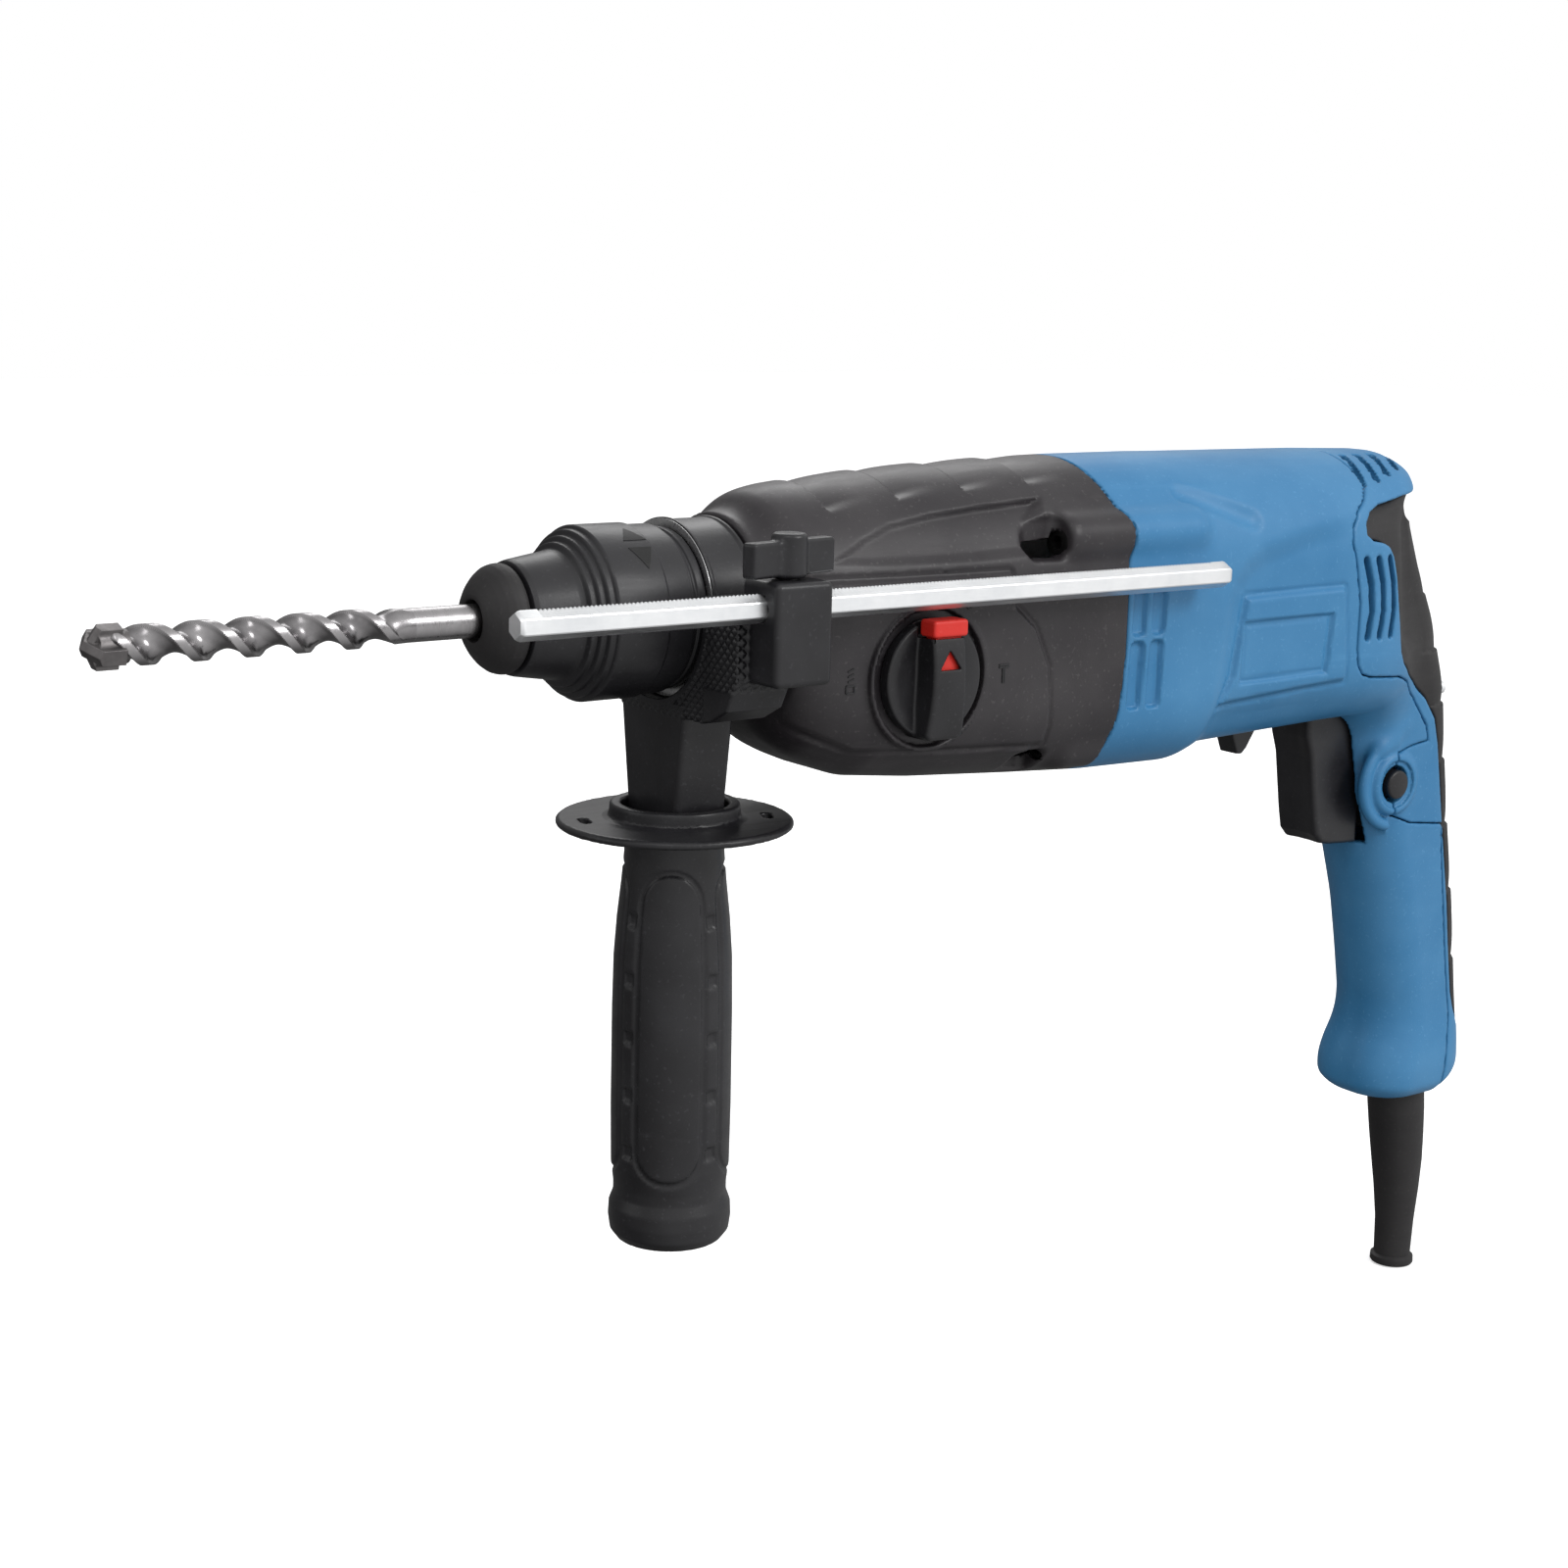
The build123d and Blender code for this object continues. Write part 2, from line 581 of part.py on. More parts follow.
with BuildPart() as wobble_ring:
    add(tube(WOBBLE_X - 4.5, WOBBLE_X + 4.5, 12.6, 16, SHAFT_Z))
    with BuildSketch(Plane.XY.offset(SHAFT_Z + 14)):
        with Locations((WOBBLE_X, 0)):
            Circle(3)
    extrude(amount=-SHAFT_Z - 14 + 7.5)
    add(turned([(WOBBLE_X - 5, 0), (WOBBLE_X + 5, 0), (WOBBLE_X + 5, 12.6), (WOBBLE_X - 5, 12.6)], SHAFT_Z),
        mode=Mode.SUBTRACT)
    with BuildSketch(Plane.XZ):
        with BuildLine():
            CenterArc((WOBBLE_X, SHAFT_Z), 13.6, 0, 180)
            Line((WOBBLE_X - 13.6, SHAFT_Z), (WOBBLE_X + 13.6, SHAFT_Z))
        make_face()
    revolve(axis=Axis((0, 0, SHAFT_Z), (1, 0, 0)), mode=Mode.SUBTRACT)
    # Centre holes on the line that the ring rocks about.
    with BuildSketch(Plane.XZ):
        with Locations((WOBBLE_X, SHAFT_Z)):
            Circle(1.5)
    extrude(amount=18, both=True, mode=Mode.SUBTRACT)
save(wobble_ring.part, "wobble_ring")

with BuildPart() as wobble_balls:
    for ball in range(7):
        angle = math.radians(360 / 7 * ball)
        with Locations((WOBBLE_X, 11.9 * math.sin(angle), SHAFT_Z + 11.9 * math.cos(angle))):
            Sphere(1.6)
save(wobble_balls.part, "wobble_balls")

# ---- intermediate shaft ----
with BuildPart() as intermediate_shaft:
    add(tube(88.5, 196, 0, 4, SHAFT_Z))
    add(spur_gear(PINION_TEETH, (99, 111), 1, SHAFT_Z, 90))
save(intermediate_shaft.part, "intermediate_shaft")
with BuildPart() as wobble_hub:
    crown = [(WOBBLE_X + 9.9 * math.cos(math.radians(angle)), 9.9 * math.sin(math.radians(angle)))
             for angle in range(135, 30, -15)]
    add(turned([(143, 0), (143, 6.5)] + crown + [(157, 6.5), (157, 0)], SHAFT_Z))
    add(tube(140, 160, 0, 4, SHAFT_Z), mode=Mode.SUBTRACT)
save(wobble_hub.part, "wobble_hub")
with BuildPart() as intermediate_gear:
    add(spur_gear(WHEEL_TEETH, (176, 183), 4, SHAFT_Z, 90 + 180 / WHEEL_TEETH))
    for angle in range(0, 360, 60):
        turn = math.radians(angle)
        with BuildSketch(Plane.YZ.offset(176)):
            with Locations((10.5 * math.cos(turn), SHAFT_Z + 10.5 * math.sin(turn))):
                Circle(2.6)
        extrude(amount=7, mode=Mode.SUBTRACT)
save(intermediate_gear.part, "intermediate_gear")

# ---- motor ----
with BuildPart() as armature_shaft:
    add(turned([(184, 0), (184, 4), (193, 4), (193, 5), (306, 5), (306, 4), (315, 4), (315, 0)], MOTOR_Z))
    add(spur_gear(MOTOR_TEETH, (174.5, 184.5), 1, MOTOR_Z, -90))
    add(tube(174.5, 186, 0, 1.5, MOTOR_Z))
save(armature_shaft.part, "armature_shaft")
with BuildPart() as armature_core:
    add(tube(224, 270, 5, 18.5, MOTOR_Z))
    for slot in range(12):
        turn = math.radians(30 * slot)
        with BuildSketch(Plane.YZ.offset(224)):
            with Locations((17 * math.cos(turn), MOTOR_Z + 17 * math.sin(turn))):
                Circle(1.6)
        extrude(amount=46, mode=Mode.SUBTRACT)
save(armature_core.part, "armature_core")
with BuildPart() as armature_windings:
    add(turned([(217, 5), (217, 12), (219, 15), (224, 16), (224, 5)], MOTOR_Z))
    add(turned([(270, 5), (270, 16), (276, 15), (281, 9), (281, 5)], MOTOR_Z))
save(armature_windings.part, "armature_windings")
with BuildPart() as commutator:
    add(tube(283, 301, 5, 11.5, MOTOR_Z))
    add(tube(283, 286, 5, 13, MOTOR_Z))
save(commutator.part, "commutator")
with BuildPart() as fan:
    add(tube(199, 211, 5, 9, MOTOR_Z))
    add(tube(199, 201, 5, 30, MOTOR_Z))
    for blade in range(12):
        with BuildSketch(Plane.YZ.offset(201)):
            with Locations(Location((0, MOTOR_Z), 30 * blade)):
                with Locations((17.75, 0)):
                    Rectangle(21.5, 1.2)
        extrude(amount=9)
save(fan.part, "fan")
with BuildPart() as fan_baffle:
    with BuildSketch(Plane.YZ.offset(213)):
        with Locations((0, MOTOR_Z)):
            Circle(32)
            Circle(21, mode=Mode.SUBTRACT)
    extrude(amount=2)
save(fan_baffle.part, "fan_baffle")

with BuildPart() as field_core:
    add(tube(222, 272, 27, 31, MOTOR_Z))
    for start in (40, 220):
        add(ring_sector(19, 27.5, start, 100, (222, 272)))
save(field_core.part, "field_core")
with BuildPart() as field_coils:
    for start in (5, 185):
        add(ring_sector(20, 26.6, start, 170, (216.5, 278.5)))
        add(ring_sector(17, 30, start + 34, 102, (221.7, 272.3)), mode=Mode.SUBTRACT)
save(field_coils.part, "field_coils")

with BuildPart() as brush_holders:
    for side in (-1, 1):
        with BuildSketch(Plane.XZ.offset(side * 13.2)):
            with Locations((293, MOTOR_Z)):
                Rectangle(12, 9)
                Rectangle(8.2, 5.2, mode=Mode.SUBTRACT)
        extrude(amount=side * 16)
save(brush_holders.part, "brush_holders")
with BuildPart() as carbon_brushes:
    for side in (-1, 1):
        with BuildSketch(Plane.XZ.offset(side * 11.9)):
            with Locations((293, MOTOR_Z)):
                Rectangle(8, 5)
        extrude(amount=side * 13)
save(carbon_brushes.part, "carbon_brushes")

# ---- side handle ----
save(tube(COLLAR_X[0], COLLAR_X[1] - 0.5, COLLAR_R + FIT, BAND_R), "clamp_band")

with BuildPart() as handle_holder:
    # Knurled block under the band.
    with BuildSketch(Plane.YZ.offset(53)):
        with BuildLine():
            Polyline([(-40, 2), (-37, 6), (-20, 6), (-20, -8), (22, -8), (27, -14), (22, -26), (14, -28),
                      (-24, -28), (-34, -24), (-40, -16)], close=True)
        make_face()
    extrude(amount=18.3)
    # Clamp block round the depth rod.
    with BuildSketch(Plane.YZ.offset(57)):
        with Locations((ROD_Y, -1.5)):
            RectangleRounded(16, 27, 2.5)
    extrude(amount=18)
    # Tapered square neck down to the grip.
    with BuildSketch(Plane.XY.offset(-26)):
        with Locations((HANDLE_AXIS_X, -0.5)):
            RectangleRounded(16.6, 32, 2)
    with BuildSketch(Plane.XY.offset(-57.7)):
        with Locations((HANDLE_AXIS_X, -0.5)):
            RectangleRounded(16.6, 24, 2)
    loft(ruled=True)
    add(tube(50, 80, 0, BAND_R), mode=Mode.SUBTRACT)
    with BuildSketch(Plane.YZ.offset(50)):
        with Locations((ROD_Y, ROD_Z)):
            RegularPolygon((ROD_FLATS / 2 + FIT) / math.cos(math.pi / 6), 6)
    extrude(amount=40, mode=Mode.SUBTRACT)
    with BuildSketch(Plane.XY.offset(-60)):
        with Locations((HANDLE_AXIS_X, 0)):
            Circle(4)
    extrude(amount=40, mode=Mode.SUBTRACT)
    with BuildSketch(Plane.XY.offset(ROD_Z + 4)):
        with Locations((CLAMP_X, ROD_Y)):
            Circle(2.5 + FIT)
    extrude(amount=10, mode=Mode.SUBTRACT)
save(handle_holder.part, "handle_holder")

with BuildPart() as handle_bolt:
    with BuildSketch(Plane.XY.offset(-85)):
        with Locations((HANDLE_AXIS_X, 0)):
            Circle(3.95)
    extrude(amount=60)
save(handle_bolt.part, "handle_bolt")

GRIP_PROFILE = [
    (4, -58), (32, -58), (32.6, -58.6), (32.6, -59.6), (32, -60.2), (15, -60.4), (13.5, -64), (14.2, -75),
    (16.4, -95), (16.5, -158), (15.7, -164), (17.1, -168.5), (17.2, -174), (15.8, -178), (12, -179.4),
    (0, -179.7), (0, -88), (4, -88),
]
with BuildPart() as side_grip:
    with BuildSketch(Plane.XZ):
        with BuildLine():
            Polyline([(HANDLE_AXIS_X + radius, z) for radius, z in GRIP_PROFILE], close=True)
        make_face()
        with Locations((HANDLE_AXIS_X + 16.7, -56)):
            Rectangle(2.2, 4.4)
    revolve(axis=Axis((HANDLE_AXIS_X, 0, 0), (0, 0, 1)))
    with BuildSketch(Plane.XY.offset(-61)):
        with Locations((HANDLE_AXIS_X - 25, 8), (HANDLE_AXIS_X + 25, -8)):
            SlotOverall(7, 3, rotation=72)
    extrude(amount=4, mode=Mode.SUBTRACT)
save(side_grip.part, "side_grip")

with BuildPart() as wing_knob:
    with BuildSketch(Plane.XY.offset(12.5)):
        with Locations((CLAMP_X, ROD_Y)):
            Circle(4.6)
    extrude(amount=11.5)
    with BuildSketch(Plane.XY.offset(13)):
        with Locations(Location((CLAMP_X, ROD_Y), WING_TURN)):
            RectangleRounded(31, 5, 1)
    extrude(amount=10)
    with BuildSketch(Plane.XY.offset(ROD_Z + ROD_FLATS / 2 + 1)):
        with Locations((CLAMP_X, ROD_Y)):
            Circle(2.5)
    extrude(amount=4)
save(wing_knob.part, "wing_knob")

with BuildPart() as depth_rod:
    with BuildSketch(Plane.YZ.offset(-14.6)):
        with Locations((ROD_Y, ROD_Z)):
            RegularPolygon(ROD_REACH, 6)
    extrude(amount=239)
    # Grip teeth along the top edge.
    with BuildSketch(Plane.XZ.offset(-ROD_Y)):
        with Locations(*[(x, ROD_Z + ROD_REACH + 0.1) for x in range(-12, 223, 3)]):
            Rectangle(1.4, 1.4, rotation=45)
    extrude(amount=4, both=True, mode=Mode.SUBTRACT)
save(depth_rod.part, "depth_rod")

# ---- mode knob ----
with BuildPart() as mode_knob:
    with BuildSketch(Plane.XZ.offset(-KNOB_FACE_Y + GAP)):
        with Locations((KNOB_X, KNOB_Z)):
            Circle(KNOB_R)
    extrude(amount=4)
    with BuildSketch(Plane.XZ.offset(37)):
        with Locations((KNOB_X, KNOB_Z - 2.5)):
            RectangleRounded(12, 26, 2)
    extrude(amount=8)
    with BuildSketch(Plane.XZ.offset(28.8)):
        with Locations((KNOB_X, KNOB_Z)):
            Circle(8)
    extrude(amount=6)
    # Pin that moves the shift plate.
    with BuildSketch(Plane.XZ.offset(26)):
        with Locations((KNOB_X, KNOB_Z - PIN_THROW)):
            Circle(1.8)
    extrude(amount=3.4)
    # Pocket for the button, channel for its stem and the window that shows it.
    with BuildSketch(Plane.XZ.offset(35.3)):
        with Locations((KNOB_X, KNOB_Z + 14.4)):
            Rectangle(12.8, 7.4)
    extrude(amount=12, mode=Mode.SUBTRACT)
    with BuildSketch(Plane.XZ.offset(36.4)):
        with Locations((KNOB_X, KNOB_Z + 6)):
            Rectangle(7.4, 10)
    extrude(amount=6.8, mode=Mode.SUBTRACT)
    with BuildSketch(Plane.XZ.offset(42)):
        with Locations((KNOB_X, KNOB_Z + 5)):
            Triangle(a=5.4, B=60, C=60)
    extrude(amount=4, mode=Mode.SUBTRACT)
save(mode_knob.part, "mode_knob")

with BuildPart() as knob_button:
    with BuildSketch(Plane.XZ.offset(37.6)):
        with Locations((KNOB_X, KNOB_Z + 13.7)):
            RectangleRounded(12, 5.2, 1.5)
    extrude(amount=6.6)
    with BuildSketch(Plane.XZ.offset(38.9)):
        with Locations((KNOB_X, KNOB_Z + 7)):
            Rectangle(6.8, 9.6)
    extrude(amount=4)
save(knob_button.part, "knob_button")

with BuildPart() as shift_plate:
    with BuildSketch(Plane.XZ.offset(26.9)):
        with Locations((KNOB_X, KNOB_Z - 2)):
            RectangleRounded(28, 20, 2)
            SlotOverall(15, 6, rotation=90, mode=Mode.SUBTRACT)
    extrude(amount=1.4)
save(shift_plate.part, "shift_plate")

# ---- trigger, lock-on button, reversing lever ----
with BuildPart() as trigger:
    with BuildSketch(Plane.XZ):
        with BuildLine():
            Polyline([(303.6, -52.7), (308.2, -74), (311.2, -90.6), (315, -94), (325, -95), (325, -52.7)],
                     close=True)
        make_face()
    extrude(amount=8.7, both=True)
    fillet(trigger.edges().filter_by(Axis.Z, 20).sort_by(Axis.X)[0:2], 3)
    with BuildSketch(Plane.YZ.offset(325)):
        with Locations((0, -72)):
            Circle(3)
    extrude(amount=17)
save(trigger.part, "trigger")

with BuildPart() as switch_body:
    with BuildSketch(Plane.XZ):
        with Locations((350, -71)):
            RectangleRounded(25, 42, 2)
    extrude(amount=8, both=True)
    with BuildSketch(Plane.YZ.offset(336)):
        with Locations((0, -72)):
            Circle(3 + FIT)
    extrude(amount=16, mode=Mode.SUBTRACT)
save(switch_body.part, "switch_body")

with BuildPart() as lock_button:
    with BuildSketch(Plane.XZ.offset(12.4)):
        with Locations((LOCK_X, LOCK_Z)):
            Circle(5.2)
    extrude(amount=4.6)
    fillet(lock_button.faces().sort_by(Axis.Y)[0].edges(), 0.8)
save(lock_button.part, "lock_button")

with BuildPart() as reversing_lever:
    with BuildSketch(Plane.XY.offset(-52.3)):
        with Locations((LEVER_X - 14, 0)):
            Rectangle(28, 8)
        with Locations((LEVER_X, 0)):
            Circle(7)
    extrude(amount=2.4)
    with BuildSketch(Plane.XY.offset(-49.9)):
        with Locations((LEVER_X, 0)):
            Circle(3)
    extrude(amount=4)
    with BuildSketch(Plane.XZ):
        with BuildLine():
            Polyline([(272, -50.2), (287, -50), (287, -52.3), (283.8, -53), (280, -59), (276.6, -61)],
                     close=True)
        make_face()
    extrude(amount=4, both=True)
save(reversing_lever.part, "reversing_lever")

# ---- cord outlet ----
with BuildPart() as cord_boot:
    with BuildSketch(Plane.XY.offset(-182)):
        with Locations((BOOT_X - 3, 0)):
            Circle(BOOT_NECK_R)
    extrude(amount=-6.5)
    for upper, lower in zip(BOOT_RINGS, BOOT_RINGS[1:]):
        for x, z, radius in (upper, lower):
            with BuildSketch(Plane.XY.offset(z)):
                with Locations((x, 0)):
                    Circle(radius)
        loft(ruled=True)
    with BuildSketch(Plane.XY.offset(-230)):
        with Locations((BOOT_RINGS[-1][0], 0)):
            Circle(4)
    extrude(amount=-40, mode=Mode.SUBTRACT)
save(cord_boot.part, "cord_boot")

with BuildPart() as cord_clamp:
    with BuildSketch(Plane.XY.offset(-158)):
        with Locations((BOOT_X - 8, 0)):
            RectangleRounded(10, 22, 2)
            Circle(3.2, mode=Mode.SUBTRACT)
    extrude(amount=-6)
save(cord_clamp.part, "cord_clamp")
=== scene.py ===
"""Looks of the rotary hammer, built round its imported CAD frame.

The frame is in metres. Shapes are worked out in millimetres and scaled when a mesh is made.
X runs from the mouth of the chuck to the back, Z is up, and the mode knob faces -Y.
"""
import json
import math
from itertools import product

import bmesh
import bpy
import numpy as np
from mathutils import Matrix, Vector


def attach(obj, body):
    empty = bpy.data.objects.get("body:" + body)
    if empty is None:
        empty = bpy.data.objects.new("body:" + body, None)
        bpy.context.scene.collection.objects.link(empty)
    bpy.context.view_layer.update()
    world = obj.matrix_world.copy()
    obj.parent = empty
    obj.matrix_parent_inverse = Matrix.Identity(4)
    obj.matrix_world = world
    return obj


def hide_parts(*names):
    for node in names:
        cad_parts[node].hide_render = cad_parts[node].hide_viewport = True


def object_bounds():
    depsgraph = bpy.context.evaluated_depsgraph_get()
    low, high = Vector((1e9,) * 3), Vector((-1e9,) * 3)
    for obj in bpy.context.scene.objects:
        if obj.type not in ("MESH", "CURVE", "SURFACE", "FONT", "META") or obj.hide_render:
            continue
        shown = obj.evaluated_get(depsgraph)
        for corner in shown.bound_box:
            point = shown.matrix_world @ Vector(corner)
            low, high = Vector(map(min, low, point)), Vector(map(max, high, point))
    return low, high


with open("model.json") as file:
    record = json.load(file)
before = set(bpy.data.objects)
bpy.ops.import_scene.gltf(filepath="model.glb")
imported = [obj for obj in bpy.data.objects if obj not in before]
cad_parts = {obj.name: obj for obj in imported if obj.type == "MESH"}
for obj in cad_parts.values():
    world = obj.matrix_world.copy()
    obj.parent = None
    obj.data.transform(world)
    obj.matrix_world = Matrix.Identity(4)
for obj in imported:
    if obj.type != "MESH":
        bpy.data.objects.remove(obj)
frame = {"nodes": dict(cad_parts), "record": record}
cad_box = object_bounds()

MM = 0.001
SIDE_GAP = 0.2              # half the gap at the joint between two mouldings
GEAR_WALL = 4.6
REAR_WALL = 4.8


# ---- implicit shapes
def fillet_max(a, b, r):
    """Overlap of two shapes, with the edge between them rounded to radius r."""
    return np.minimum(np.maximum(a, b), -r) + np.hypot(np.maximum(a + r, 0), np.maximum(b + r, 0))


def fillet_min(a, b, r):
    """Union of two shapes, with the corner between them filled to radius r."""
    return np.maximum(np.minimum(a, b), r) - np.hypot(np.maximum(r - a, 0), np.maximum(r - b, 0))


def blend_min(a, b, r):
    """Soft union over a width r."""
    h = np.clip(0.5 + 0.5 * (b - a) / r, 0, 1)
    return b + (a - b) * h - r * h * (1 - h)


def step(value, start, end):
    """0 before start, 1 after end, smooth between."""
    t = np.clip((value - start) / (end - start), 0, 1)
    return t * t * (3 - 2 * t)


def eased(t, knots, values, reach):
    """Straight lines through the knots, with their corners rounded over a reach either side."""
    taps = np.linspace(-reach, reach, 9)
    return sum(np.interp(t + tap, knots, values) for tap in taps) / len(taps)


def block(x, y, z, centre, half, r=0.0):
    """Box with rounded edges."""
    q = [np.abs(v - c) - h + r for v, c, h in zip((x, y, z), centre, half)]
    outside = np.sqrt(sum(np.maximum(v, 0) ** 2 for v in q))
    return outside + np.minimum(np.maximum(np.maximum(q[0], q[1]), q[2]), 0) - r


def capsule(x, y, z, start, end, r):
    """Straight rod with round ends."""
    sx, sy, sz = start
    dx, dy, dz = (b - a for a, b in zip(start, end))
    t = np.clip(((x - sx) * dx + (y - sy) * dy + (z - sz) * dz) / (dx * dx + dy * dy + dz * dz), 0, 1)
    return np.sqrt((x - sx - dx * t) ** 2 + (y - sy - dy * t) ** 2 + (z - sz - dz * t) ** 2) - r


def drum(u, v, w, centre, r, low, high, edge=0.0):
    """Round disc or rod along w, between low and high, centred in u and v."""
    radial = np.hypot(u - centre[0], v - centre[1]) - r
    axial = np.abs(w - (low + high) / 2) - (high - low) / 2
    if edge:
        return fillet_max(radial, axial, edge)
    return np.maximum(radial, axial)


def outline(u, v, points):
    """Signed distance in a plane to a closed outline, negative inside."""
    u, v = np.broadcast_arrays(u, v)
    nearest = np.full(u.shape, 1e9, u.dtype)
    inside = np.zeros(u.shape, bool)
    for (ax, ay), (bx, by) in zip(points, points[1:] + points[:1]):
        dx, dy = bx - ax, by - ay
        t = np.clip(((u - ax) * dx + (v - ay) * dy) / (dx * dx + dy * dy), 0, 1)
        nearest = np.minimum(nearest, (u - ax - dx * t) ** 2 + (v - ay - dy * t) ** 2)
        if ay != by:
            inside ^= ((v >= ay) != (v >= by)) & (u < ax + (v - ay) * dx / dy)
    return np.sqrt(nearest) * np.where(inside, -1, 1)


def line_distance(u, v, points):
    """Distance in a plane to an open line of points."""
    nearest = 1e9
    for (ax, ay), (bx, by) in zip(points, points[1:]):
        dx, dy = bx - ax, by - ay
        t = np.clip(((u - ax) * dx + (v - ay) * dy) / (dx * dx + dy * dy), 0, 1)
        nearest = np.minimum(nearest, (u - ax - dx * t) ** 2 + (v - ay - dy * t) ** 2)
    return np.sqrt(nearest)


def rounded_slot(u, v, centre, size, r):
    """Rounded rectangle in a plane."""
    q_u = np.abs(u - centre[0]) - size[0] / 2 + r
    q_v = np.abs(v - centre[1]) - size[1] / 2 + r
    return np.minimum(np.maximum(q_u, q_v), 0) + np.hypot(np.maximum(q_u, 0), np.maximum(q_v, 0)) - r


# ---- meshes from implicit shapes
def gradient(field, p, h):
    out = np.empty_like(p)
    for axis in range(3):
        ahead, behind = p.copy(), p.copy()
        ahead[:, axis] += h
        behind[:, axis] -= h
        out[:, axis] = (field(*ahead.T) - field(*behind.T)) / (2 * h)
    return out


def surface_nets(field, low, high, cell):
    """Vertices and quads of the surface where field is zero, pulled onto that surface."""
    low, high = np.array(low, float), np.array(high, float)
    counts = np.ceil((high - low) / cell).astype(int) + 1
    axes = [(low[a] + cell * np.arange(counts[a])).astype(np.float32) for a in range(3)]
    x, y, z = axes[0][:, None, None], axes[1][None, :, None], axes[2][None, None, :]
    value = np.array(np.broadcast_to(field(x, y, z), counts), np.float32)
    value[value == 0] = 1e-6
    for axis in range(3):
        edge = np.moveaxis(value, axis, 0)
        edge[0], edge[-1] = np.maximum(edge[0], 1e-3), np.maximum(edge[-1], 1e-3)
    inside = value < 0
    corner = [tuple(slice(o, n - 1 + o) for o, n in zip(offset, counts))
              for offset in product((0, 1), repeat=3)]
    total = sum(inside[c].astype(np.int8) for c in corner)
    mixed = (total > 0) & (total < 8)
    index = np.full(mixed.shape, -1, np.int64)
    index[mixed] = np.arange(mixed.sum())
    cells = np.argwhere(mixed)
    at_corner = np.stack([value[c][mixed] for c in corner], 1)
    offsets = np.array(list(product((0, 1), repeat=3)), float)
    place, hits = np.zeros((len(cells), 3)), np.zeros(len(cells))
    for i, j in product(range(8), repeat=2):
        if i < j and np.abs(offsets[i] - offsets[j]).sum() == 1:
            a, b = at_corner[:, i], at_corner[:, j]
            cut = (a < 0) != (b < 0)
            t = np.where(cut, a / np.where(cut, a - b, 1), 0)
            place += np.where(cut[:, None], offsets[i] + t[:, None] * (offsets[j] - offsets[i]), 0)
            hits += cut
    vertices = low + cell * (cells + place / hits[:, None])
    quads = []
    for a in range(3):
        b, c = (a + 1) % 3, (a + 2) % 3
        before = [slice(None)] * 3
        after = [slice(None)] * 3
        before[a], after[a] = slice(0, -1), slice(1, None)
        first, second = inside[tuple(before)], inside[tuple(after)]
        for rising in (True, False):
            found = np.argwhere((first & ~second) if rising else (~first & second))
            ring = []
            for db, dc in ((-1, -1), (0, -1), (0, 0), (-1, 0)):
                at = found.copy()
                at[:, b] += db
                at[:, c] += dc
                ring.append(index[at[:, 0], at[:, 1], at[:, 2]])
            quads.append(np.stack(ring if rising else ring[::-1], 1))
    quads = np.concatenate(quads)
    start = vertices.copy()
    for _ in range(3):
        g = gradient(field, vertices, 0.2 * cell)
        move = field(*vertices.T)[:, None] * g / np.maximum((g * g).sum(1), 0.3)[:, None]
        vertices = vertices - np.clip(move, -0.5 * cell, 0.5 * cell)
        vertices = start + np.clip(vertices - start, -0.7 * cell, 0.7 * cell)
    return vertices, quads


def new_piece(name, vertices, faces, body, material, normals=None):
    """A smooth-shaded mesh in metres that rides on a body."""
    mesh = bpy.data.meshes.new(name)
    mesh.from_pydata([tuple(v) for v in np.asarray(vertices) * MM], [],
                     [tuple(int(i) for i in f) for f in faces])
    mesh.shade_smooth()
    if normals is not None:
        mesh.normals_split_custom_set_from_vertices(normals)
    mesh.materials.append(material)
    piece = bpy.data.objects.new(name, mesh)
    bpy.context.scene.collection.objects.link(piece)
    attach(piece, body)
    return piece


def moulding(name, field, low, high, cell, body, material, replaced=()):
    """A piece from an implicit shape. Its shading follows the shape's own slope."""
    reach = 2 * cell
    vertices, quads = surface_nets(field, [v - reach for v in low], [v + reach for v in high], cell)
    normals = gradient(field, vertices, 0.55 * cell)
    normals /= np.maximum(np.linalg.norm(normals, axis=1), 1e-6)[:, None]
    piece = new_piece(name, vertices, quads, body, material, normals)
    if replaced:
        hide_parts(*replaced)
    return piece


def lathe(name, profile, body, material, axis="x", centre=(0, 0), segments=144, replaced=(), angle=35):
    """A turned piece from a closed (along, radius) profile about a line along x or z."""
    turns = np.arange(segments) * 2 * math.pi / segments
    rings = []
    for along, radius in profile:
        a, b = centre[0] + radius * np.cos(turns), centre[1] + radius * np.sin(turns)
        fixed = np.full(segments, along)
        rings.append(np.stack([fixed, a, b] if axis == "x" else [a, b, fixed], 1))
    vertices = np.concatenate(rings)
    count = len(profile)
    faces = []
    for i in range(count):
        j = (i + 1) % count
        for s in range(segments):
            t = (s + 1) % segments
            faces.append((i * segments + s, j * segments + s, j * segments + t, i * segments + t))
    piece = new_piece(name, vertices, faces, body, material)
    tidy_mesh(piece, angle)
    if replaced:
        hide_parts(*replaced)
    return piece


def tidy_mesh(piece, angle):
    """Joins points that share a place, faces outwards, and keeps edges over the angle crisp."""
    work = bmesh.new()
    work.from_mesh(piece.data)
    bmesh.ops.remove_doubles(work, verts=work.verts, dist=1e-6)
    bmesh.ops.recalc_face_normals(work, faces=work.faces)
    work.to_mesh(piece.data)
    work.free()
    piece.data.shade_smooth()
    piece.data.set_sharp_from_angle(angle=math.radians(angle))


